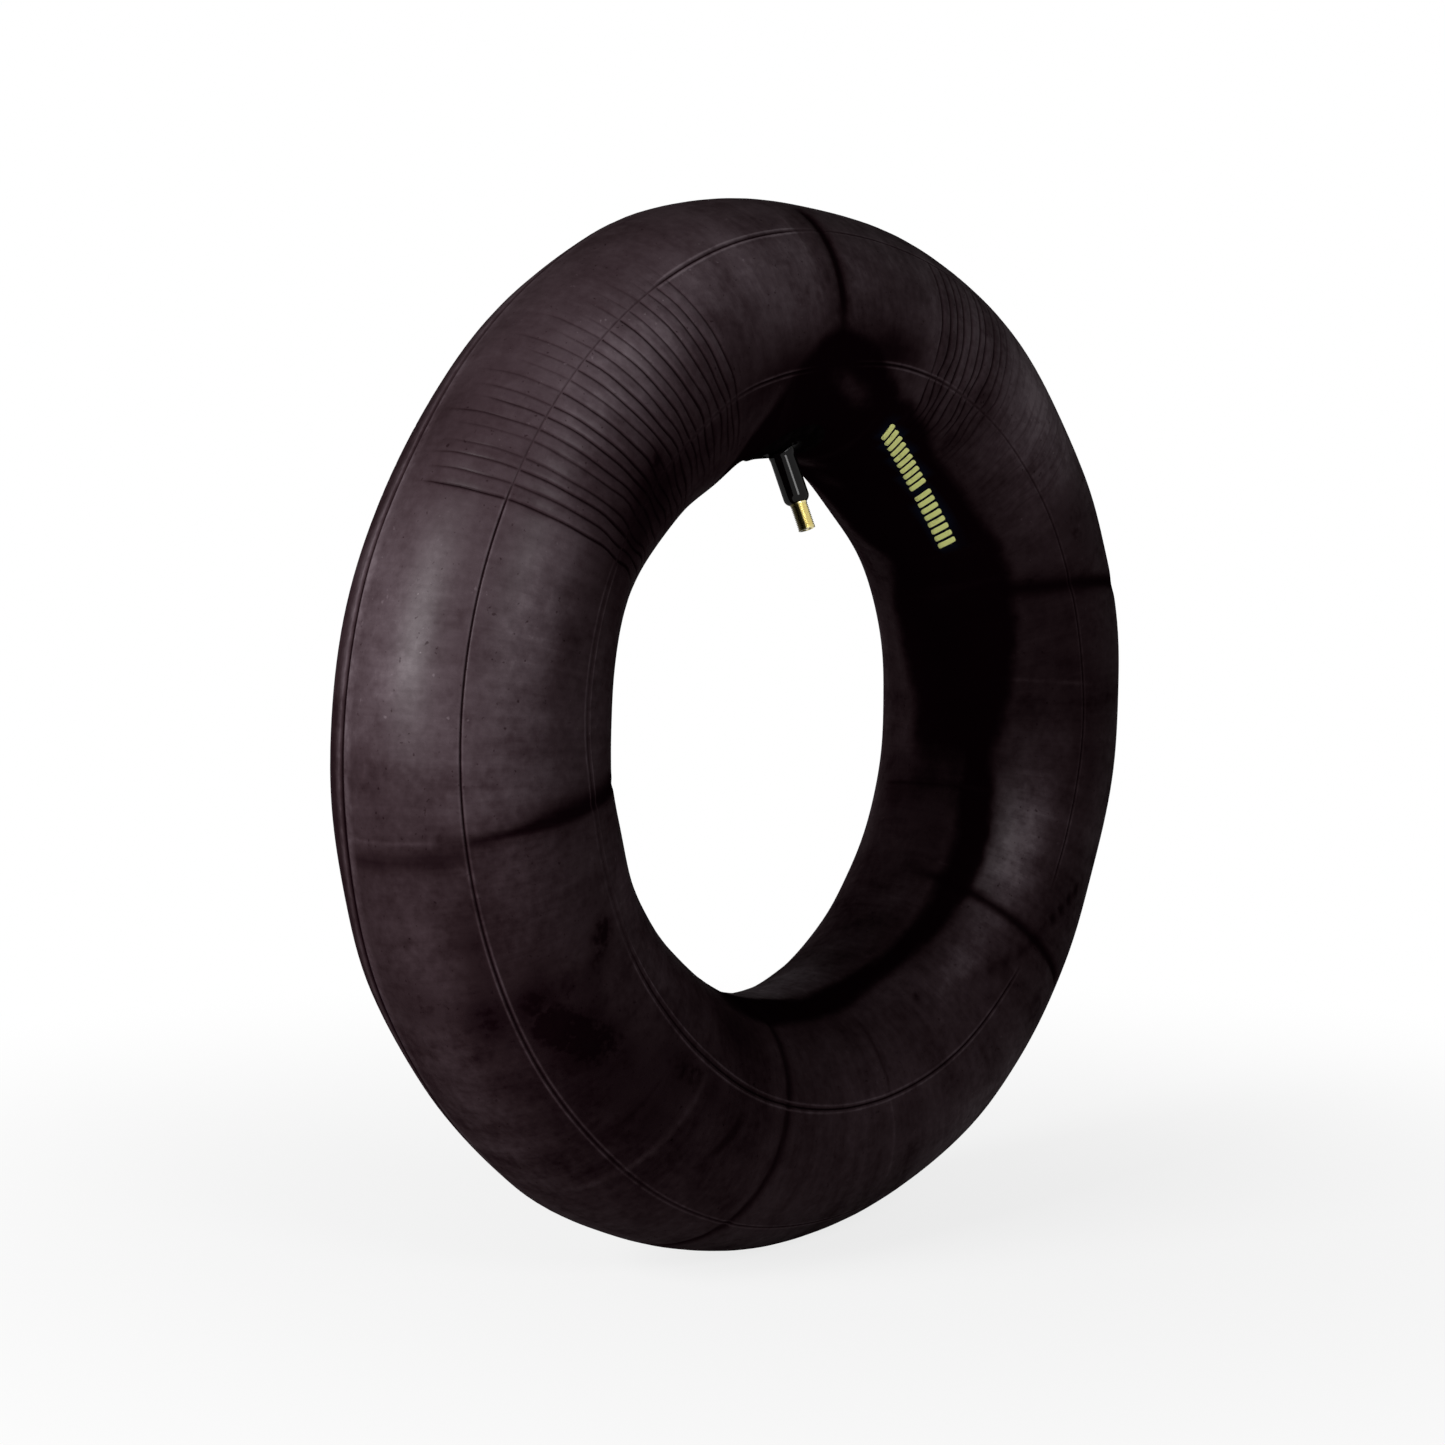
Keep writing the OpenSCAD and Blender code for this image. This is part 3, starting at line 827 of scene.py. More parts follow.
# What the rubber reads from the skin: a base, the lowest and highest value, and the patches. The bloom's patches
# also paint light and shade: the bright ones at turns 334, 308, 276 and 165 are painted highlights, and many dark
# ones, such as along the hole's edge, are painted shade.
SPREADS = {
    "bloom": (0.22, 0.06, 1.0, patches(
        (128, 52, 22, 32, 0.46), (165, 12, 15, 40, 0.42), (163, 66, 11, 15, 0.4),
        (132, 0, 22, 26, 0.1), (178, 44, 9, 42, 0.13), (199, 14, 9, 13, 0.13), (97, 63, 12, 24, 0.3),
        (68, 62, 17, 24, 0.2), (46, 80, 13, 34, 0.34), (334, 125, 13, 12, 0.84),
        (308, 126, 10, 10, 0.34), (294, 142, 7, 8, 0.14), (285, 92, 26, 40, 0.07),
        (301, 58, 14, 16, 0.2), (216, 52, 20, 36, -0.11), (243, 130, 9, 16, -0.12),
        (246, 104, 12, 24, -0.05), (280, 138, 24, 8, -0.05), (14, 112, 14, 20, -0.08),
        (2, 82, 9, 24, -0.07), (142, 101, 14, 17, -0.22), (112, 107, 9, 11, -0.13),
        (104, 101, 6, 11, -0.12), (81, 98, 7, 9, -0.24), (187, 66, 12, 24, 0.16),
        (218, 12, 12, 16, 0.14), (130, 55, 18, 12, 0.13), (268, 14, 10, 14, -0.12),
        (322, 192, 26, 20, -0.07), (341, 196, 6, 14, -0.12), (281, 88, 6, 12, -0.05),
        (45, 64, 16, 24, 0.18), (67, 98, 10, 22, 0.15), (315, 167, 4, 9, 0.1),
        (172, -29, 38, 8, -0.14), (168, 98, 14, 12, 0.08), (208, 122, 15, 15, 0.12),
        (276, 184, 13, 13, 0.5), (12, 206, 22, 10, -0.08),
    )),
    "lustre": (0.6, 0.0, 1.0, patches(
        (150, 28, 52, 62, 0.4), (172, -34, 45, 11, -0.6), (275, 184, 16, 16, -0.4),
        (45, 62, 18, 26, -0.25),
    )),
    "mottle": (0.8, 0.0, 2.0, patches(
        (142, 25, 40, 48, -0.42), (210, 50, 22, 40, 0.5),
    )),
    "grime": (0.0, 0.0, 1.6, patches(
        (213, 66, 3.7, 12.5, 1.7, 0.22), (208.6, 55, 3.8, 6.5, 0.62, 0.2),
        (204, 61, 3.6, 6, 0.42, -0.3), (206.8, 35, 2.2, 8, 0.8), (199, 40, 5, 7, 0.4),
        (203, 95, 2.9, 8, 0.66, -0.12), (208, 82, 2.6, 9, 0.42, -0.34), (231, 97, 7, 7, 0.55),
        (225, 74, 12, 18, 0.3), (204, 8, 3, 12, 0.4), (137, 93, 2, 6, 0.8, 0.2), (29, 84, 6, 16, 0.4),
        (350, 91, 6, 5, 0.4), (296, 131, 1.2, 2.5, 0.8), (334, 170, 8, 10, 0.3),
        (24.5, 121, 2.6, 9, 0.5),
    )),
}


@dataclass(frozen=True)
class MouldLine:
    """A moulding line, where two plates of the mould met, as it runs round the wheel.

    Each stop of its run has a turn, the lean that the line has there, the shares of the groove and
    of the two lips beside it, and how far the lips lie from the groove, in millimetres. Without a
    run the line is plain all the way round. The breadth says how many times as wide it is.
    """

    lean: float
    run: tuple[tuple[float, float, float, float, float], ...] = ()
    breadth: float = 1.0
    plain: tuple[float, float, float, float] = (0.0, 0.8, 0.4, 1.0 * MM)

    def at(self, turn: Array) -> tuple[Array, Array, Array, Array]:
        """What the line is at each turn.

        Args:
            turn: Angles round the wheel.

        Returns:
            Its drift in degrees, the shares of its groove and lips, and the lips' distance.
        """
        if not self.run:
            return tuple(np.full_like(turn, value) for value in self.plain)
        turns, real, *shares = np.array(self.run).T
        drift = drawn_through(turn, list(zip(turns, real - self.lean)))
        groove, lip, offset = (np.interp(turn, turns, share, period=360.0) for share in shares)
        return drift, groove, lip, offset * MM


MOULD_LINES = (
    MouldLine(-138.5),
    MouldLine(-78.5),
    MouldLine(
        -18.5,
        (
            (20, -18.5, 1, 0.4, 1), (70, -17, 1, 0.4, 1), (112, -14.5, 0.6, 0.4, 1),
            (135, -14.2, 0.3, 0.6, 1), (152, -15.6, 0.7, 1.2, 1), (175, -17.3, 1.4, 1.2, 1.1),
            (190, -18.6, 2.2, 0.8, 1.2), (210, -19.6, 2.2, 0.5, 1.2), (228, -19.2, 1.8, 0.5, 1.2),
            (260, -18.5, 1.2, 0.4, 1),
        ),
        breadth=2.6,
    ),
    MouldLine(
        41.5,
        (
            (30, 43, 0.8, 0.4, 1), (70, 44, 0.8, 0.4, 1), (86, 43.8, 0.8, 0.3, 1),
            (91, 43.4, 0.1, 0.1, 1), (95, 43, 0.3, 0.4, 1.3), (98, 42.8, 1, 2.4, 1.5),
            (117, 41.8, 1, 2, 1.5), (120, 41.7, 0.4, 0.1, 1), (149, 41.3, 0.4, 0, 0.8),
            (152, 41.3, 1.1, 0.7, 0.8), (162, 41.5, 1.1, 0.35, 0.8), (182, 42.6, 1.2, 0.35, 0.9),
            (190, 43.4, 1, 0.7, 1), (202, 44.6, 0.8, 1.2, 1.1), (212, 45.4, 0.7, 1.2, 1.2),
            (226, 46.6, 0.6, 1, 1.2), (240, 46.2, 0.5, 0.6, 1.2), (262, 44.6, 0.6, 0.5, 1),
            (300, 43, 0.8, 0.4, 1),
        ),
    ),
    MouldLine(
        101.5,
        (
            (5, 99, 0.8, 0.3, 1), (20, 99.6, 0.8, 0.3, 1), (50, 101, 0.5, 0.15, 1),
            (63, 102.3, 0.3, 0.3, 1.1), (73, 103.6, 0.9, 1.2, 1.1), (86, 106, 0.9, 1.1, 1.1),
            (90, 106.8, 0.1, 0.1, 1.1), (99, 107.1, 0.1, 0.1, 1.1), (102, 106.6, 0.9, 1.1, 1.1),
            (111, 104, 0.9, 0.9, 1.1), (118, 102, 0.2, 0.2, 1.1), (150, 98, 0.1, 0.05, 1.5),
            (155, 98, 0.2, 0.8, 1.9), (170, 99.4, 0.3, 0.8, 1.9), (181, 103.2, 0.6, 0.9, 1.9),
            (187, 105.2, 0.2, 0.3, 2), (208, 107.6, 0.3, 0.4, 2.2), (214, 108, 1.2, 1.3, 2.3),
            (232, 107.4, 1.2, 1.3, 2.3), (245, 105.6, 1.3, 1.1, 2), (262, 103.8, 1.2, 1, 1.7),
            (280, 101.5, 1.1, 0.9, 1.4), (295, 99.7, 1, 0.8, 1.3), (311, 99.2, 0.9, 0.7, 1.2),
            (316, 99.2, 0.05, 0, 1.2), (329, 100.2, 0.05, 0, 1.2), (334, 100.5, 0.8, 0.5, 1),
            (356, 99.2, 0.8, 0.4, 1),
        ),
    ),
)


@dataclass(frozen=True)
class PaintedShade:
    """Painted shade on the rim side inside the ring, round the foot of the valve, where that side faces down and
    away from the lamps.

    The stops of the edge and the back edge are (turn, lean). A band of painted shadow runs on from the shaded
    place, and its stops are (turn, lean of its middle, half its width). Thin patches paint the shade lighter.
    """

    edge: tuple[tuple[float, float], ...] = (
        (0, 138.5), (12, 134.5), (20, 131), (32, 129), (42, 130), (50, 130.5), (60, 128.5), (66, 122),
        (72, 119), (76, 116), (80, 110.5), (84, 100), (88, 94), (91.5, 90), (94, 88), (97, 92),
        (100, 98), (104, 107.5), (108, 117.5), (112, 126), (116, 135), (121, 147), (128, 190),
        (134, 215), (150, 215), (270, 215), (290, 170), (310, 156), (330, 152), (350, 145),
    )
    back: tuple[tuple[float, float], ...] = (
        (0, 189), (12, 193), (24, 194), (35, 189), (42, 198), (50, 201), (62, 208), (80, 222),
        (120, 222), (240, 200), (330, 188),
    )
    thin: tuple[Patch, ...] = patches(
        (88.5, 118.5, 4.2, 9.5, 0.62, -0.5), (78, 178, 6.5, 10, 0.62), (64, 184, 4.5, 9, 0.36),
        (36, 190, 3, 8, 0.3),
    )
    band: tuple[tuple[float, float, float], ...] = (
        (236, 158, 14), (250, 157.5, 13.5), (262, 157, 11), (275, 155, 8.5), (290, 156, 6.5),
        (300, 153, 6.5), (310, 149.5, 7), (320, 147.5, 7.6), (335, 147.5, 9), (350, 152, 7.5),
    )
    soft: float = 7.5
    back_soft: float = 9.0
    band_soft: float = 5.0
    band_start: tuple[float, float] = (232.0, 254.0)
    area_start: tuple[float, float] = (-38.0, 4.0)

    def share(self, turn: Array, lean: Array) -> Array:
        """How strong the painted shade is at each point.

        Args:
            turn: Angles round the wheel.
            lean: Angles round the section.

        Returns:
            The share, from 0 to 1.
        """
        low = drawn_through(turn, self.edge)
        back = drawn_through(turn, self.back)
        up = lean % 360.0
        area = smooth_step(up, low - self.soft, low + self.soft)
        area = area * smooth_step(up, back + self.back_soft, back - self.back_soft)
        area = area * smooth_step(turn_gap(turn, 0.0), *self.area_start)
        turns, middles, halves = np.array(self.band).T
        middle = drawn_through(turn, list(zip(turns, middles)))
        half = np.interp(turn % 360.0, turns, halves)
        band = smooth_step(np.abs(up - middle), half + self.band_soft, half - self.band_soft)
        band = band * smooth_step(turn % 360.0, *self.band_start)
        kept = sum(patch.spread(turn, lean) for patch in self.thin)
        return np.maximum(area, band) * (1.0 - kept)


@dataclass(kw_only=True)
class Assembly:
    """A sub-assembly, which keeps the pieces that it makes."""

    pieces: list[bpy.types.Object] = field(default_factory=list)

    def settle(self, piece: bpy.types.Object, slot: str, *nodes: str) -> None:
        """Makes a piece ride on the tube, hides the CAD nodes that it replaces, and keeps it.

        Args:
            piece: The piece.
            slot: Not used.
            nodes: The CAD nodes that it replaces, if any.
        """
        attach(piece, "tube")
        if nodes:
            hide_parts(*nodes)
        self.pieces.append(piece)

    def report(self) -> None:
        """Says in the log what the sub-assembly is made of."""
        for piece in self.pieces:
            piece.data.calc_loop_triangles()
            count = len(piece.data.loop_triangles)
            log.info("%s: %s, %d triangles", type(self).__name__, piece.name, count)


@dataclass
class TubeSkin(Assembly):
    """The ring's outer skin, with its moulding lines, vent grooves, creases and soft swells.

    Depths, widths and rises are in metres, and leans, turns and the grid's gaps in degrees. The
    rows beside a line are in millimetres from it, and the columns at a vent in degrees.
    """

    ring: Ring
    roll: float = 18.5
    line_step: float = 60.0
    line_reach: float = 30.0
    line_depth: float = 0.5 * MM
    line_width: float = 0.38 * MM
    lip_rise: float = 0.17 * MM
    lip_width: float = 0.42 * MM
    vent_count: int = 21
    vent_first: float = 23.0
    vent_pitch: float = 1.674
    vent_stray: float = 0.22
    vent_depth: float = 0.55 * MM
    vent_width: float = 0.47 * MM
    vent_seed: int = 7
    vent_strengths: tuple[float, float] = (0.65, 1.15)
    last_vent: Point = (1.25, 1.0, 2.0)
    crown_ends: tuple[float, float] = (32.0, -4.0)
    crown_scatter: float = 10.0
    crown_shares: tuple[float, float] = (0.45, 0.85)
    crown_grows: tuple[float, float] = (0.4, 1.0)
    rim_ends: tuple[float, float] = (116.0, 128.0)
    crown_fade: tuple[float, float] = (-8.0, 12.0)
    rim_fade: tuple[float, float] = (12.0, -6.0)
    shoulder_depth: float = 0.8
    rim_depth: float = 1.3
    line_clear: tuple[float, float] = (0.2 * MM, 1.0 * MM)
    worn_share: float = 0.85
    worn_turns: tuple[float, float] = (8.0, 20.0)
    pillow: float = 0.10 * MM
    pillow_edges: tuple[float, float] = (0.5, 4.0)
    waver_least: float = 0.35
    waver_more: float = 2.2
    waver_leans: tuple[float, float] = (92.0, 128.0)
    row_gap: float = 4.5
    column_gap: float = 1.5
    crease_gap: float = 0.65
    line_gap: float = 0.3
    least_beside: float = 0.7
    beside_more: float = 0.35
    most_beside: float = 2.0
    fine_width: float = 1.5 * MM
    fine_span: float = 15.0
    vent_room: float = 0.9
    crease_room: float = 0.6
    vent_edge: float = 0.3
    least_gap: float = 0.12
    line_rows: tuple[float, ...] = (0.22, 0.5, 0.85, 1.2, 1.6, 2.0, 2.45, 2.9, 3.4)
    vent_columns: tuple[float, ...] = (-0.30, -0.13, 0.0, 0.13, 0.30, 0.837)
    uneven: tuple[Wave, ...] = ((0.16, 7, 2, 0.0), (0.16, 11, -3, 1.3), (0.10, 19, 5, 0.4))
    waver: tuple[Wave, ...] = ((0.10, 4, 9, 0.0), (0.10, 37, 7, 1.0), (0.07, -53, 16, 0.0))

    def __post_init__(self) -> None:
        """Draws how far each vent groove strays, how deep it is and where it runs out."""
        draw = np.random.default_rng(self.vent_seed)
        size = (2, self.vent_count)
        self.stray = self.vent_stray * draw.uniform(-1.0, 1.0, size)
        self.strength = draw.uniform(*self.vent_strengths, size)
        self.crown_end = draw.uniform(-self.crown_scatter, self.crown_scatter, size)
        self.crown_end = self.crown_end + np.linspace(*self.crown_ends, self.vent_count)
        self.crown_share = draw.uniform(*self.crown_shares, size)
        self.crown_share = self.crown_share * np.linspace(*self.crown_grows, self.vent_count)
        self.rim_end = draw.uniform(*self.rim_ends, size)
        self.stray[:, [0, -1]] = 0.0
        self.strength[:, -1], self.crown_share[:, -1], self.crown_end[:, -1] = self.last_vent

    def line_leans(self) -> Array:
        """Leans of the moulding lines, which sit at equal steps on the rolled section."""
        return np.array([line.lean for line in MOULD_LINES])

    def vent_turns(self) -> Array:
        """Turns of the vent grooves, in two patches on the two sides of the valve."""
        away = self.vent_first + self.vent_pitch * np.arange(self.vent_count) + self.stray
        return np.r_[self.ring.valve_turn - away[0], self.ring.valve_turn + away[1]]

    def rows(self) -> Array:
        """Rows of the grid, close together at each moulding line, and even between.

        Returns:
            Their leans, rising.
        """
        near = np.degrees(np.array(self.line_rows) * MM / self.ring.section_r)
        near = np.r_[-near[::-1], 0.0, near]
        lines = self.line_leans()
        leans = [lines[:, None] + near]
        for start, end in zip(lines, np.r_[lines[1:], lines[0] + 360.0]):
            room = end - start - 2.0 * near[-1]
            steps = round(room / self.row_gap)
            leans.append(start + near[-1] + room * np.arange(1, steps)[None] / steps)
        return np.sort(np.concatenate([lean.ravel() for lean in leans]))

    def columns(self) -> Array:
        """Columns of the grid, close together at grooves and creases, and even between.

        Returns:
            Their turns, rising.
        """

        def clear(turns: Array, others: Array, room: float) -> Array:
            """The turns that have room on both sides before the nearest of the others."""
            return turns[np.abs(turn_gap(turns[:, None], others[None])).min(axis=1) > room]

        vents = (self.vent_turns()[:, None] + np.array(self.vent_columns)).ravel()
        fine = []
        for crease in CREASES:
            beside = min(self.most_beside, self.least_beside + self.beside_more * crease.width / MM)
            low, high = min(crease.turns) - beside, max(crease.turns) + beside
            fine_line = crease.width < self.fine_width and high - low < self.fine_span
            fine.append(np.arange(low, high, self.line_gap if fine_line else self.crease_gap))
        fine = np.concatenate(fine)
        plain = clear(np.arange(0.0, 360.0, self.column_gap), vents, self.vent_room)
        plain = clear(plain, fine, self.crease_room)
        turns = np.sort(np.r_[vents, clear(fine, vents, self.vent_edge), plain] % 360.0)
        return turns[np.diff(turns, prepend=turns[-1] - 360.0) > self.least_gap]

    def line_distance(self, lean: Array) -> Array:
        """Distance along the section from the nearest moulding line."""
        apart = np.abs(turn_gap(lean[..., None], self.line_leans()))
        return np.radians(apart.min(axis=-1)) * self.ring.section_r

    def vent_share(self, side: Array, number: Array, lean: Array) -> Array:
        """How deep a vent groove is along its length.

        It is whole on the shoulder, between two moulding lines, and grows a little deeper towards
        the rim side. Past either line it goes on faintly, and runs out at an end of its own.

        Args:
            side: Which patch the groove is in, 0 or 1.
            number: The groove's number, counted from the valve.
            lean: Angles round the section.

        Returns:
            The share of the full depth.
        """
        rolled = np.abs(turn_gap(lean, -self.roll))
        low, high = self.line_step, 2.0 * self.line_step
        crown_end = self.crown_end[side, number] + self.roll
        rim_end = self.rim_end[side, number] + self.roll
        start, end = self.crown_fade
        crown = smooth_step(rolled, crown_end + start, crown_end + end)
        crown = self.crown_share[side, number] * crown
        start, end = self.rim_fade
        rim = self.rim_depth * smooth_step(rolled, rim_end + start, rim_end + end)
        deeper = (self.rim_depth - self.shoulder_depth) * smooth_step(rolled, low, high)
        whole = self.shoulder_depth + deeper
        share = np.where(rolled < low, crown, np.where(rolled > high, rim, whole))
        return share * smooth_step(self.line_distance(lean), *self.line_clear)

    def vent_relief(self, turn: Array, lean: Array) -> tuple[Array, Array]:
        """The vent grooves' bell curves and the low pillows between them.

        Args:
            turn: Angles round the wheel.
            lean: Angles round the section.

        Returns:
            The groove's share at each point, and the pillow's.
        """
        gap = turn_gap(turn, self.ring.valve_turn)
        side = (gap > 0.0).astype(int)
        away = np.abs(gap) - self.vent_first
        nearest = np.clip(np.round(away / self.vent_pitch), 0, self.vent_count - 1).astype(int)
        groove = np.zeros_like(gap)
        share = np.zeros_like(gap)
        for step in (-1, 0, 1):
            number = np.clip(nearest + step, 0, self.vent_count - 1)
            apart = away - number * self.vent_pitch - self.stray[side, number]
            across = np.radians(apart) * self.ring.wheel_r(lean)
            deep = self.vent_share(side, number, lean) * self.strength[side, number]
            groove = np.maximum(groove, deep * bell(across, self.vent_width))
            share = np.maximum(share, deep if step == 0 else 0.0)
        last = self.vent_pitch * (self.vent_count - 1)
        rolled = np.abs(turn_gap(lean, -self.roll))
        turn_edge, lean_edge = self.pillow_edges
        inside = smooth_step(away, 0.0, turn_edge) * smooth_step(away, last, last - turn_edge)
        inside = inside * smooth_step(rolled, self.line_step, self.line_step + lean_edge)
        worn = 1.0 - self.worn_share * (1 - side) * smooth_step(away, *self.worn_turns)
        return groove * worn, (share - groove) * inside * worn

    def line_relief(self, turn: Array, lean: Array) -> tuple[Array, Array, Array]:
        """The moulding lines: a groove as a bell curve, and a lip as another on each side of it.

        Args:
            turn: Angles round the wheel.
            lean: Angles round the section.

        Returns:
            The height, and the shares of groove and lip.
        """
        groove = np.zeros_like(lean)
        lip = np.zeros_like(lean)
        for line in MOULD_LINES:
            away = np.abs(np.radians(turn_gap(lean, line.lean))) * self.ring.section_r
            _, cut, raised, offset = line.at(turn)
            groove = groove + cut * bell(away, line.breadth * self.line_width)
            lip = lip + raised * bell(away - line.breadth * offset, line.breadth * self.lip_width)
        return self.lip_rise * lip - self.line_depth * groove, groove, lip

    def form(self, turn: Array, lean: Array) -> Array:
        """Height of the blown-up skin above the plain ring, without its pattern.

        It is the sum of the swells, the creases, and a slow unevenness made of three sine waves.

        Args:
            turn: Angles round the wheel.
            lean: Angles round the section.

        Returns:
            The heights.
        """
        height = MM * waves(turn, lean, self.uneven)
        for swell in SWELLS:
            height = height + swell.spread(turn, lean)
        for crease in CREASES:
            height = height + crease.lift(self.ring, turn, lean)
        return height

    def wander(self, turn: Array, lean: Array) -> tuple[Array, Array]:
        """Where a point of the even pattern really lies, as the mould and the filling draw it.

        Each moulding line drifts as it runs round the wheel, and the skin beside it goes with it
        along a bell curve. The vent grooves waver towards the rim side.

        Args:
            turn: Angles round the wheel.
            lean: Angles round the section.

        Returns:
            The real turns and leans.
        """
        drift = sum(
            line.at(turn)[0] * bell(turn_gap(lean, line.lean), self.line_reach) for line in MOULD_LINES
        )
        rolled = np.abs(turn_gap(lean, -self.roll))
        grows = self.waver_least + self.waver_more * smooth_step(rolled, *self.waver_leans)
        waver = waves(turn, lean, self.waver) * grows
        return turn + waver, lean + drift

    def surface(self, turn: Array, lean: Array) -> Array:
        """The finished skin: its form, with the pattern's relief on it.

        Args:
            turn: Angles round the wheel.
            lean: Angles round the section.

        Returns:
            The points.
        """
        groove, pillow = self.vent_relief(turn, lean)
        pattern = self.line_relief(turn, lean)[0] - self.vent_depth * groove + self.pillow * pillow
        real = self.wander(turn, lean)
        return self.ring.point(*real, self.form(*real) + pattern)

    def fields(self, turn: Array, lean: Array) -> dict[str, Array]:
        """What the rubber's material reads at each point.

        Args:
            turn: Angles round the wheel.
            lean: Angles round the section.

        Returns:
            How much there is of each thing by name, and the wrapped place: the centre circle's
            point and the section's point, which together close round the ring.
        """
        vents = self.vent_relief(turn, lean)[0]
        _, line, lip = self.line_relief(turn, lean)
        turn, lean = self.wander(turn, lean)
        crease = sum(item.shade * item.share(self.ring, turn, lean) for item in CREASES)
        t, s = np.radians(turn), np.radians(lean)
        wrap = np.stack([np.cos(t), np.sin(t), np.cos(s)], axis=-1)
        fields = {
            # painted shade on the rim side round the valve's foot
            "wiped": PaintedShade().share(turn, lean),
            # painted shade in the creases
            "crease": np.clip(crease, 0.0, 1.0),
            # painted shade in the vent and moulding-line grooves
            "groove": np.clip(vents + line, 0.0, 1.0),
            # lips of the moulding lines and the fine ridges, painted lighter as a painted highlight
            "lip": np.clip(lip - np.clip(crease, None, 0.0), 0.0, 1.5),
            "print_ground": PrintedBars(self).ground(turn, lean),
            "wrap": wrap * (self.ring.centre_r, self.ring.centre_r, self.ring.section_r),
            "wrap_depth": np.sin(s) * self.ring.section_r,
        }
        for name, (base, low, high, items) in SPREADS.items():
            fields[name] = np.clip(base + sum(item.spread(turn, lean) for item in items), low, high)
        return fields

    def build(self) -> None:
        """Makes the skin, dresses it, and lets it stand for the plain ring."""
        turn, lean = np.meshgrid(self.columns(), self.rows())
        points, fields = self.surface(turn, lean), self.fields(turn, lean)
        skin = grid_piece("tube_skin", points, Ends.LOOP, Ends.LOOP, fields)
        TubeRubber().dress(skin)
        self.settle(skin, "tube_rubber", "tube_wall")


@dataclass
class PrintedBars(Assembly):
    """A plain printed mark: two groups of slanted bars along a gentle curve inside the ring."""

    skin: TubeSkin
    start: float = 38.2
    groups: tuple[int, ...] = (8, 10)
    bar: float = 1.3
    pitch: float = 1.93
    group_gap: float = 1.3
    height: float = 9.2
    slant: float = -0.08
    shear: float = 0.12
    end_shape: Point = (0.84, 0.16, 0.2)
    lift: float = 0.07 * MM
    thickness: float = 0.12 * MM
    steps: tuple[int, int] = (10, 6)
    ground_reach: tuple[float, float] = (6.1, 5.1)
    ground_ends: tuple[float, float] = (2.0, 0.8)
    curve: Point = (38.0, 151.3, 0.0135)

    def middle(self, turn: Array) -> Array:
        """Lean of the mark's middle line, which falls as the square of the turn past its top."""
        top, lean, fall = self.curve
        return lean - fall * np.square(np.clip(turn - top, 0.0, None))

    def starts(self) -> Array:
        """Turn at which each bar starts."""
        group = np.repeat(np.arange(len(self.groups)), self.groups)
        return self.start + np.arange(len(group)) * self.pitch + group * self.group_gap

    def ground(self, turn: Array, lean: Array) -> Array:
        """The darker ground that the printing screen left round the bars.

        Args:
            turn: Angles round the wheel.
            lean: Angles round the section.

        Returns:
            Its share at each point.
        """
        far, near = self.ground_ends
        end = self.starts()[-1] + self.bar
        across = smooth_step(np.abs(turn_gap(lean, 0.0) - self.middle(turn)), *self.ground_reach)
        across = across * smooth_step(turn, self.start - far, self.start - near)
        return across * smooth_step(turn, end + far, end + near)

    def build(self) -> None:
        """Makes the bars as thin closed plates on the skin, and joins them in one piece.

        A bar is a slanted rectangle of turn and lean. Its height is less towards its two ends,
        where it follows a power of the distance from the end.
        """
        across, up = self.steps
        u = np.linspace(0.0, 1.0, across)[:, None]
        v = np.linspace(-1.0, 1.0, up)[None, :]
        square, rounding, power = self.end_shape
        share = square + rounding * (1.0 - np.abs(2.0 * u - 1.0)) ** power
        sheets = []
        for start in self.starts():
            lean_step = 0.5 * self.height * v * share
            turn = start + self.bar * u + self.slant * lean_step
            lean = self.middle(start + 0.5 * self.bar) + lean_step - self.shear * (u - 0.5) * self.bar
            turn, lean = np.broadcast_arrays(turn, lean)
            skin_lift = self.skin.form(turn, lean) + self.lift
            top = self.skin.ring.point(turn, lean, skin_lift)
            base = self.skin.ring.point(turn, lean, skin_lift - self.thickness)
            sheets.append(np.hstack([top, base[:, ::-1]]))
        bars = [grid_piece(f"bar_{i}", capped(sheet), Ends.POLES) for i, sheet in enumerate(sheets)]
        mark = join(bars, "printed_bars")
        PRINT_INK.dress(mark)
        self.settle(mark, "tube_rubber")


# The valve


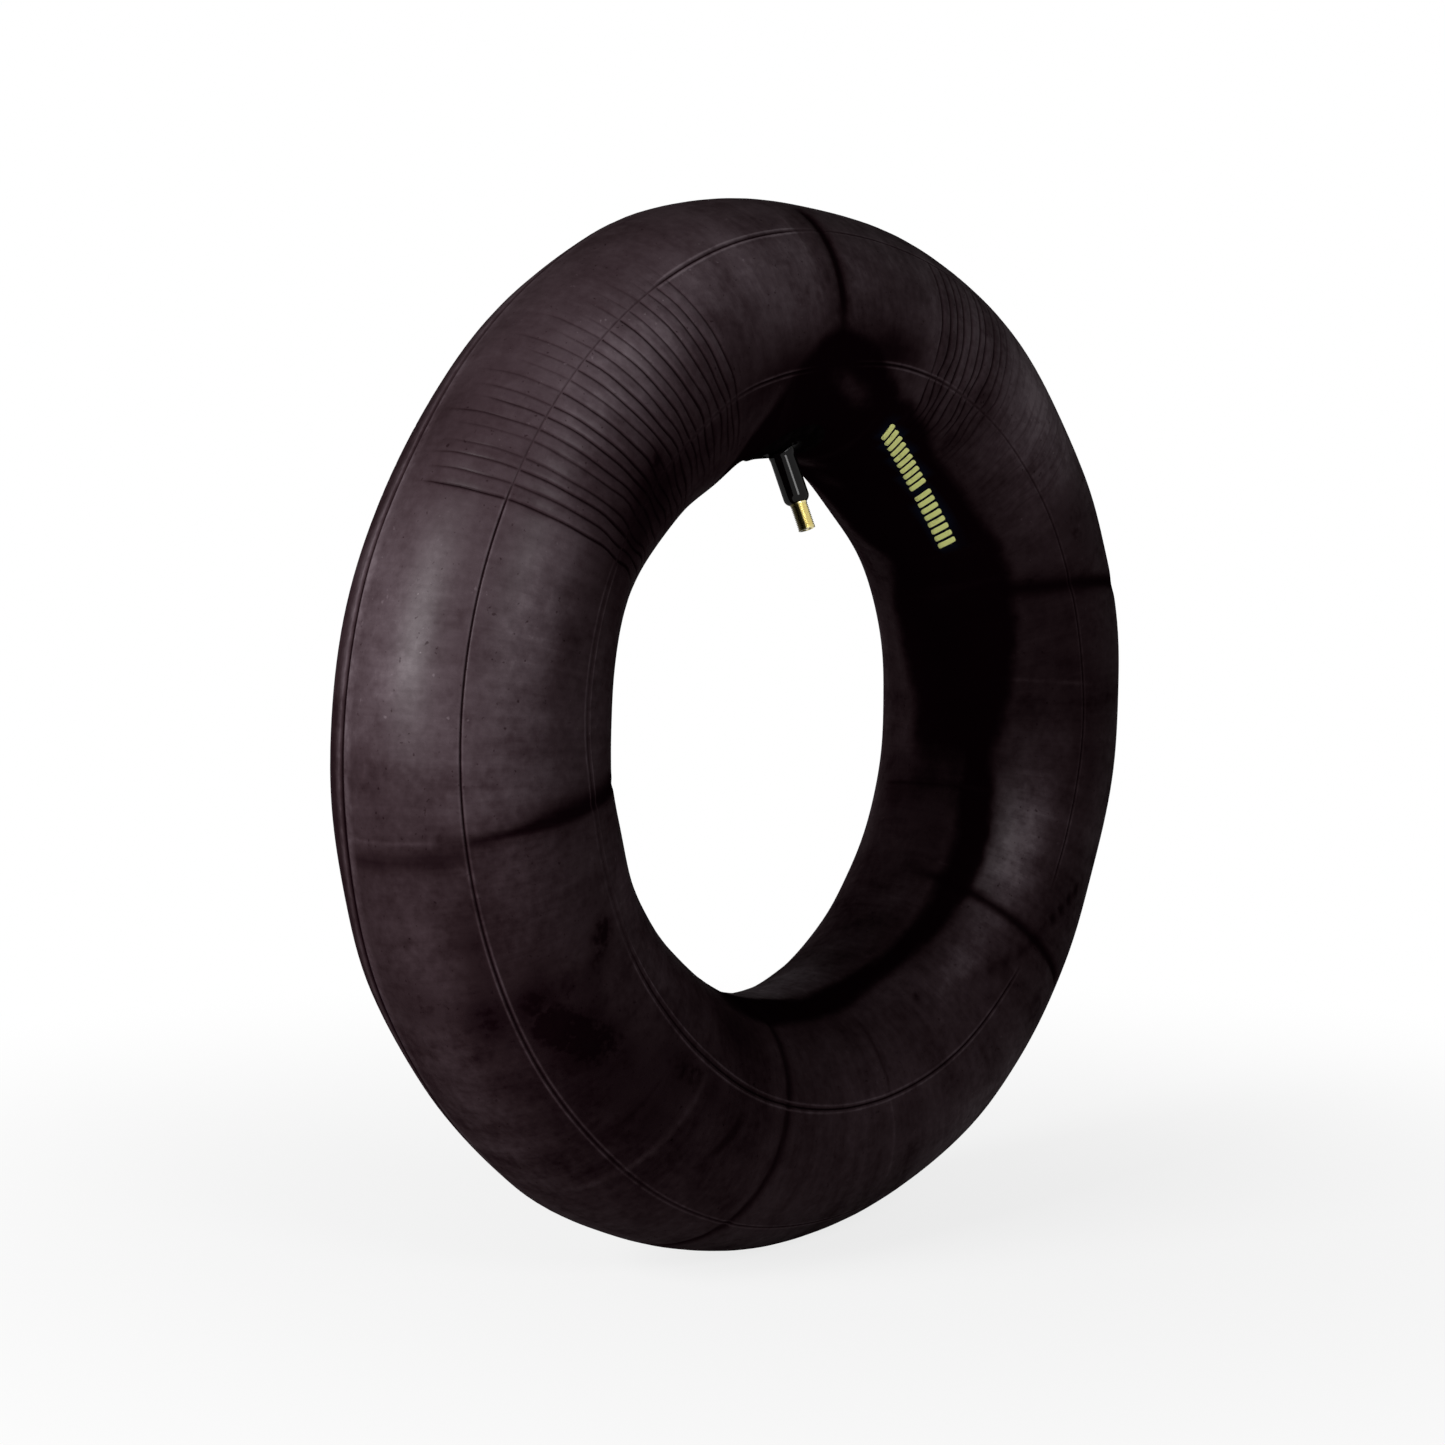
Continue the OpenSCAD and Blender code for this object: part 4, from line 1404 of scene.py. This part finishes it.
@dataclass
class Valve(Assembly):
    """The straight valve: the rubber moulded on the tube, and the brass insert that it holds."""

    ring: Ring
    skin: TubeSkin
    around: int = 72
    shoulder_r: float = 3.4 * MM
    root_r: float = 4.0 * MM
    foot_t: float = 1.2 * MM
    foot_r: float = 17.0 * MM
    skirt_t: float = 0.5 * MM
    skirt_gap: float = 0.4 * MM
    skirt_edge: float = 0.05 * MM
    sunk: float = 0.5 * MM
    lip_overhang: float = 0.3 * MM
    seam: float = 0.09 * MM
    seam_angle: float = 0.6
    seam_width: float = 0.09
    buried_r: float = 3.5 * MM
    flange_t: float = 1.4 * MM
    flange_r: float = 4.8 * MM
    throat_r: float = 1.3 * MM
    chamber_r: float = 2.6 * MM
    lower_r: float = 2.05 * MM
    seat_depth: float = 9.6 * MM
    seat_len: float = 1.8 * MM
    chamber_len: float = 22.05 * MM
    tip_round: float = 0.6 * MM
    mouth_chamfer: float = 0.4 * MM
    thread_pitch: float = 25.4 * MM / 32.0
    thread_depth: float = 0.42 * MM
    thread_row: float = 0.045 * MM
    thread_hidden: float = 0.6 * MM
    thread_start: tuple[float, float] = (0.5 * MM, 1.6 * MM)
    thread_end: tuple[float, float] = (0.2 * MM, -0.5 * MM)
    tooth_top: float = 1.25
    tooth_slope: float = 2.7
    # the side of the brass that is painted dark as a painted reflection, and how soft its edge is
    painted_reflection_way: Point = (-0.67, 0.74, 0.0)
    painted_reflection_steps: tuple[float, float] = (-0.2, 0.4)

    def __post_init__(self) -> None:
        """Works out the valve's own axes from the ring, and its lengths from the frame."""
        self.axis = self.ring.valve_axis()
        self.foot = self.ring.valve_foot()
        turn, lean = np.array(self.ring.valve_turn), np.array(self.ring.valve_lean)
        self.forward = self.ring.normal(turn, lean + 90.0)
        self.sideways = np.cross(self.axis, self.forward)
        self.angle = np.linspace(0.0, 2.0 * np.pi, self.around, endpoint=False)[None]
        self.insert_z, self.tip_z = self.span("valve_stem")
        self.rubber_z = self.span("valve_rubber")[1]
        self.skirt_r = self.reach("valve_rubber")
        sizes = {mount["name"]: mount["dims"] for mount in frame["record"]["mounts"]}
        self.thread_r = sizes["valve_thread"]["r_mm"] * MM
        self.stem_r = sizes["valve_shank"]["r_mm"] * MM

    def places(self, node: str) -> Array:
        """The points of a CAD node, counted from the valve's foot.

        Args:
            node: The node's name.

        Returns:
            The points, as rows of 3.
        """
        vertices = frame["nodes"][node].data.vertices
        flat = np.empty(3 * len(vertices), np.float32)
        vertices.foreach_get("co", flat)
        return flat.reshape(-1, 3).astype(float) - self.foot

    def span(self, node: str) -> tuple[float, float]:
        """Lowest and highest place of a CAD node along the valve's axis."""
        along = self.places(node) @ self.axis
        return float(along.min()), float(along.max())

    def reach(self, node: str) -> float:
        """Largest distance of a CAD node from the valve's axis."""
        points = self.places(node)
        return float(np.linalg.norm(points - np.outer(points @ self.axis, self.axis), axis=1).max())

    def spin(self, radius: Array, height: Array, angle: Array) -> Array:
        """Points about the axis: the foot, plus height along it, plus radius at an angle across."""
        way = np.cos(angle)[..., None] * self.sideways + np.sin(angle)[..., None] * self.forward
        return self.foot + height[..., None] * self.axis + radius[..., None] * way

    def rubber_profile(self) -> Array:
        """The rubber's outline, from the insert's end to the skirt's edge.

        Returns:
            Its points, as (radius, height).
        """
        shoulder = (self.stem_r - self.shoulder_r, self.rubber_z - self.shoulder_r)
        start = math.degrees(math.acos((self.thread_r - shoulder[0]) / self.shoulder_r))
        lip_z = shoulder[1] + self.shoulder_r * math.sin(math.radians(start))
        root = (self.stem_r + self.root_r, self.skirt_t + self.root_r)
        under_z = lip_z - self.lip_overhang
        inner = [(0.0, self.insert_z), (self.buried_r, self.insert_z), (self.buried_r, under_z)]
        stem = np.linspace(shoulder[1], root[1], 26)[1:-1]
        foot = np.linspace(root[0], self.foot_r - self.foot_t, 8)[1:]
        skirt = np.linspace(self.foot_r + self.skirt_gap, self.skirt_r, 5)
        return np.vstack(
            [
                inner,
                [(self.thread_r, under_z)],
                arc(shoulder, self.shoulder_r, start, 0.0, 12),
                np.column_stack([np.full(len(stem), self.stem_r), stem]),
                arc(root, self.root_r, 180.0, 262.0, 12),
                np.column_stack([foot, np.full(len(foot), self.foot_t)]),
                arc((self.foot_r - self.foot_t, 0.0), self.foot_t, 75.0, 25.0, 5),
                np.column_stack([skirt, np.linspace(self.skirt_t, self.skirt_edge, len(skirt))]),
                [(self.skirt_r, -self.sunk), (0.0, -self.sunk)],
            ]
        )

    def build(self) -> None:
        """Makes both pieces of the valve."""
        self.build_rubber()
        self.build_brass()

    def build_rubber(self) -> None:
        """Makes the rubber sleeve and foot.

        The profile is spun about the axis. Past the stem, each point slides over to the skin: its
        distance across becomes an arc on the ring, and its height a lift above the real skin. Two
        low mould seams run along the stem.
        """
        radius, height = self.rubber_profile().T[:, :, None]
        outside = (height > self.insert_z) & (radius > 0.99 * self.stem_r)
        seam = self.seam * bell(np.sin(self.angle - self.seam_angle), self.seam_width) * outside
        straight = self.spin(radius + seam, height, self.angle)
        lean = self.ring.valve_lean + np.degrees(radius * np.sin(self.angle) / self.ring.section_r)
        turn_r = self.ring.wheel_r(np.array(self.ring.valve_lean))
        turn = self.ring.valve_turn + np.degrees(radius * np.cos(self.angle) / turn_r)
        laid = self.ring.point(turn, lean, self.skin.form(turn, lean) + height)
        off_stem = smooth_step(radius, self.stem_r, self.stem_r + self.root_r)
        share = np.where(height < 0.0, 1.0, off_stem)[..., None]
        points = straight * (1.0 - share) + laid * share
        polish = np.broadcast_to(1.0 - off_stem, points.shape[:2])
        sleeve = grid_piece("valve_sleeve", points, Ends.POLES, fields={"polish": polish}, sharp=60.0)
        STEM_BLACK.dress(sleeve)
        self.settle(sleeve, "valve_rubber", "valve_rubber")

    def build_brass(self) -> None:
        """Makes the brass insert, with a real screw thread cut into the end that shows.

        The outline is a closed loop, spun about the axis. Along the thread the radius is less by
        the thread's depth times a triangle wave of (height / pitch - angle / full turn), with its
        top and foot cut flat.
        """
        top = self.tip_z - self.tip_round
        thread_z = self.rubber_z - self.thread_hidden
        rows = np.arange(thread_z, top, self.thread_row)
        mouth_r = self.chamber_r + self.mouth_chamfer
        outer = [
            (self.throat_r, self.insert_z),
            (self.flange_r, self.insert_z),
            (self.flange_r, self.insert_z + self.flange_t),
            (self.buried_r, self.insert_z + self.flange_t),
            (self.buried_r, thread_z),
        ]
        inner = [
            (mouth_r, self.tip_z),
            (self.chamber_r, self.tip_z - self.mouth_chamfer),
            (self.chamber_r, self.tip_z - self.seat_depth),
            (self.lower_r, self.tip_z - self.seat_depth - self.seat_len),
            (self.lower_r, self.tip_z - self.chamber_len),
            (self.throat_r, self.tip_z - self.chamber_len - self.lower_r + self.throat_r),
        ]
        thread = np.column_stack([np.full(len(rows), self.thread_r), rows])
        tip = arc((self.thread_r - self.tip_round, top), self.tip_round, 0.0, 90.0, 7)
        profile = np.vstack([outer, thread, tip, inner])
        radius, height = profile.T[:, :, None]
        turn = np.linspace(0.0, 1.0, self.around, endpoint=False)[None]
        phase = (height / self.thread_pitch - turn) % 1.0
        tooth = np.clip(self.tooth_top - self.tooth_slope * np.abs(phase - 0.5), 0.0, 1.0)
        start, end = self.thread_start
        run = smooth_step(height, thread_z + start, thread_z + end)
        start, end = self.thread_end
        run = run * smooth_step(height, top + start, top + end) * (radius > 0.99 * self.thread_r)
        spun = self.spin(radius - self.thread_depth * tooth * run, height, self.angle)
        # share of the painted dark reflection, by the side of the insert that faces the given way
        way = np.cos(self.angle) * (self.sideways @ self.painted_reflection_way)
        way = way + np.sin(self.angle) * (self.forward @ self.painted_reflection_way)
        patina = np.broadcast_to(smooth_step(way, *self.painted_reflection_steps), spun.shape[:2])
        stem = grid_piece("valve_insert", spun, Ends.LOOP, fields={"patina": patina}, sharp=70.0)
        BRASS.dress(stem)
        self.settle(stem, "brass", "valve_stem")


@dataclass
class ValveCore(Assembly):
    """The screw-in core. Its turned pieces keep their CAD shape, and its spring is wound anew."""

    valve: Valve
    wire_r: float = 0.14 * MM
    coil_r: float = 1.01 * MM
    turns: int = 10
    closed_rise: float = 0.305 * MM
    steps: int = 28
    sides: int = 12

    def build(self) -> None:
        """Gives each CAD piece of the core its finish, and winds the spring."""
        finishes = {
            "core_plug": CORE_BRASS,
            "core_barrel": CORE_BRASS,
            "core_cup": CORE_BRASS,
            "core_pin": STEEL,
            "core_gasket": GASKET_RED,
            "core_seal": SEAL_BLACK,
        }
        for name, finish in finishes.items():
            finish.dress(frame["nodes"][name])
            self.pieces.append(frame["nodes"][name])
        self.build_spring()

    def build_spring(self) -> None:
        """Winds the spring.

        The wire's middle runs round the axis at the coil's radius. Its height falls by little more
        than the wire's thickness in the first and last turn, and evenly between them. A circle of
        points across the wire rides along it.
        """
        low, high = self.valve.span("core_spring")
        open_rise = high - low - 2.0 * self.wire_r - 2.0 * self.closed_rise
        turn = np.linspace(0.0, self.turns, self.turns * self.steps + 1)
        fallen = np.interp(
            turn,
            [0.0, 1.0, self.turns - 1.0, self.turns],
            np.cumsum([0.0, self.closed_rise, open_rise, self.closed_rise]),
        )
        side = np.linspace(0.0, 2.0 * np.pi, self.sides, endpoint=False)
        radius = self.coil_r + self.wire_r * np.cos(side)[None, :]
        height = (high - self.wire_r - fallen)[:, None] - self.wire_r * np.sin(side)[None, :]
        points = self.valve.spin(radius, height, -2.0 * np.pi * turn[:, None])
        spring = grid_piece("core_coil", capped(points), Ends.POLES)
        STEEL.dress(spring)
        self.settle(spring, "steel", "core_spring")
        anchor = self.valve.foot + low * self.valve.axis
        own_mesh(spring)


# The studio


@dataclass(frozen=True)
class Lamp:
    """A soft upright lamp that looks at the ring's middle."""

    name: str
    direction: Point
    distance: float
    width: float
    height: float
    power: float

    def light(self) -> None:
        """Hangs the lamp."""
        data = bpy.data.lights.new(self.name, "AREA")
        data.shape = "RECTANGLE"
        data.size = self.width
        data.size_y = self.height
        data.energy = self.power
        lamp = bpy.data.objects.new(self.name, data)
        bpy.context.scene.collection.objects.link(lamp)
        way = np.array(self.direction) / np.linalg.norm(self.direction)
        lamp.location = tuple(way * self.distance)
        lamp.rotation_euler = look(-way)


def look(way: Array) -> Point:
    """Turns a camera or lamp so that it faces along way and stays upright."""
    tilt = math.atan2(math.hypot(way[0], way[1]), -way[2])
    return (tilt, 0.0, math.atan2(-way[0], way[1]))


@dataclass
class Studio:
    """A pale floor under soft lamps, before a white surround."""

    ring: Ring
    camera_place: Point = (-1.0835, -0.9582, 0.1461)
    camera_way: Point = (0.73773, 0.66777, -0.09917)
    lens: float = 80.65
    sensor: float = 36.0
    floor_size: float = 30.0
    floor_colour: Colour = (0.80, 0.80, 0.80)
    floor_keep: float = 0.2
    floor_fade: tuple[float, float] = (0.75, 0.2)
    ambient: float = 0.09
    lamps: tuple[Lamp, ...] = (
        Lamp("lamp_left", (-0.94, 0.10, 0.32), 1.9, 0.6, 0.85, 38.0),
        Lamp("lamp_front", (-0.38, -0.82, 0.42), 1.9, 0.45, 0.45, 9.0),
    )

    def camera(self) -> None:
        """Sets up the camera."""
        data = bpy.data.cameras.new("camera")
        data.lens = self.lens
        data.sensor_width = self.sensor
        data.clip_start = 0.05
        data.clip_end = 100.0
        camera = bpy.data.objects.new("camera", data)
        camera.location = self.camera_place
        camera.rotation_euler = look(np.array(self.camera_way))
        bpy.context.scene.collection.objects.link(camera)
        bpy.context.scene.camera = camera

    def seen_straight(self, shader: Shader) -> Wire:
        """1 for rays from the camera and for mirror images, and 0 for light that falls on things.

        Args:
            shader: The material or world that asks.

        Returns:
            The number.
        """
        path = shader.node("ShaderNodeLightPath")
        kinds = ("Camera", "Glossy", "Transmission")
        camera, glossy, through = (Wire(shader, path.outputs[f"Is {kind} Ray"]) for kind in kinds)
        return (camera + glossy + through).clamp()

    def floor(self) -> None:
        """Lays the floor, which keeps the ring's shadow and fades into the white surround."""
        half = self.floor_size / 2.0
        low = -(self.ring.centre_r + self.ring.section_r)
        edge = np.array([-half, half])
        x, y = np.meshgrid(edge, edge)
        points = np.stack([x, y, np.full_like(x, low)], axis=-1)
        floor = grid_piece("floor", points, Ends.OPEN, Ends.OPEN)
        shader = Shader("floor")
        distance = shader.wire("ShaderNodeVectorMath", {"operation": "LENGTH"}, {0: shader.place()}, 1)
        near = distance.step(*self.floor_fade)
        keep = 1.0 - self.seen_straight(shader) * (1.0 - near * self.floor_keep)
        matt = shader.node("ShaderNodeBsdfDiffuse", None, {"Color": self.floor_colour})
        white = shader.node("ShaderNodeEmission", None, {"Color": (1.0, 1.0, 1.0), "Strength": 1.0})
        inputs = {0: keep, 1: white.outputs[0], 2: matt.outputs[0]}
        shader.end(shader.node("ShaderNodeMixShader", None, inputs))
        floor.data.materials.append(shader.owner)

    def surround(self) -> None:
        """Fills the world with an even light that is seen as white."""
        shader = Shader("surround", world=True)
        strength = self.ambient + self.seen_straight(shader) * (1.0 - self.ambient)
        inputs = {"Color": (1.0, 1.0, 1.0), "Strength": strength}
        shader.end(shader.node("ShaderNodeBackground", None, inputs))
        bpy.context.scene.world = shader.owner

    def build(self) -> None:
        """Makes the whole studio."""
        bpy.context.scene.view_settings.view_transform = "Standard"
        self.camera()
        self.floor()
        self.surround()
        for lamp in self.lamps:
            lamp.light()


def main() -> None:
    """Builds the sub-assemblies in order, and logs each one's pieces and their triangle counts."""
    logging.basicConfig(level=logging.INFO, format="%(name)s: %(message)s")
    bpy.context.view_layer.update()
    ring = Ring.from_frame()
    Studio(ring).build()
    skin = TubeSkin(ring)
    valve = Valve(ring, skin)
    for assembly in (skin, PrintedBars(skin), valve, ValveCore(valve)):
        assembly.build()
        assembly.report()


if __name__ == "__main__":
    main()
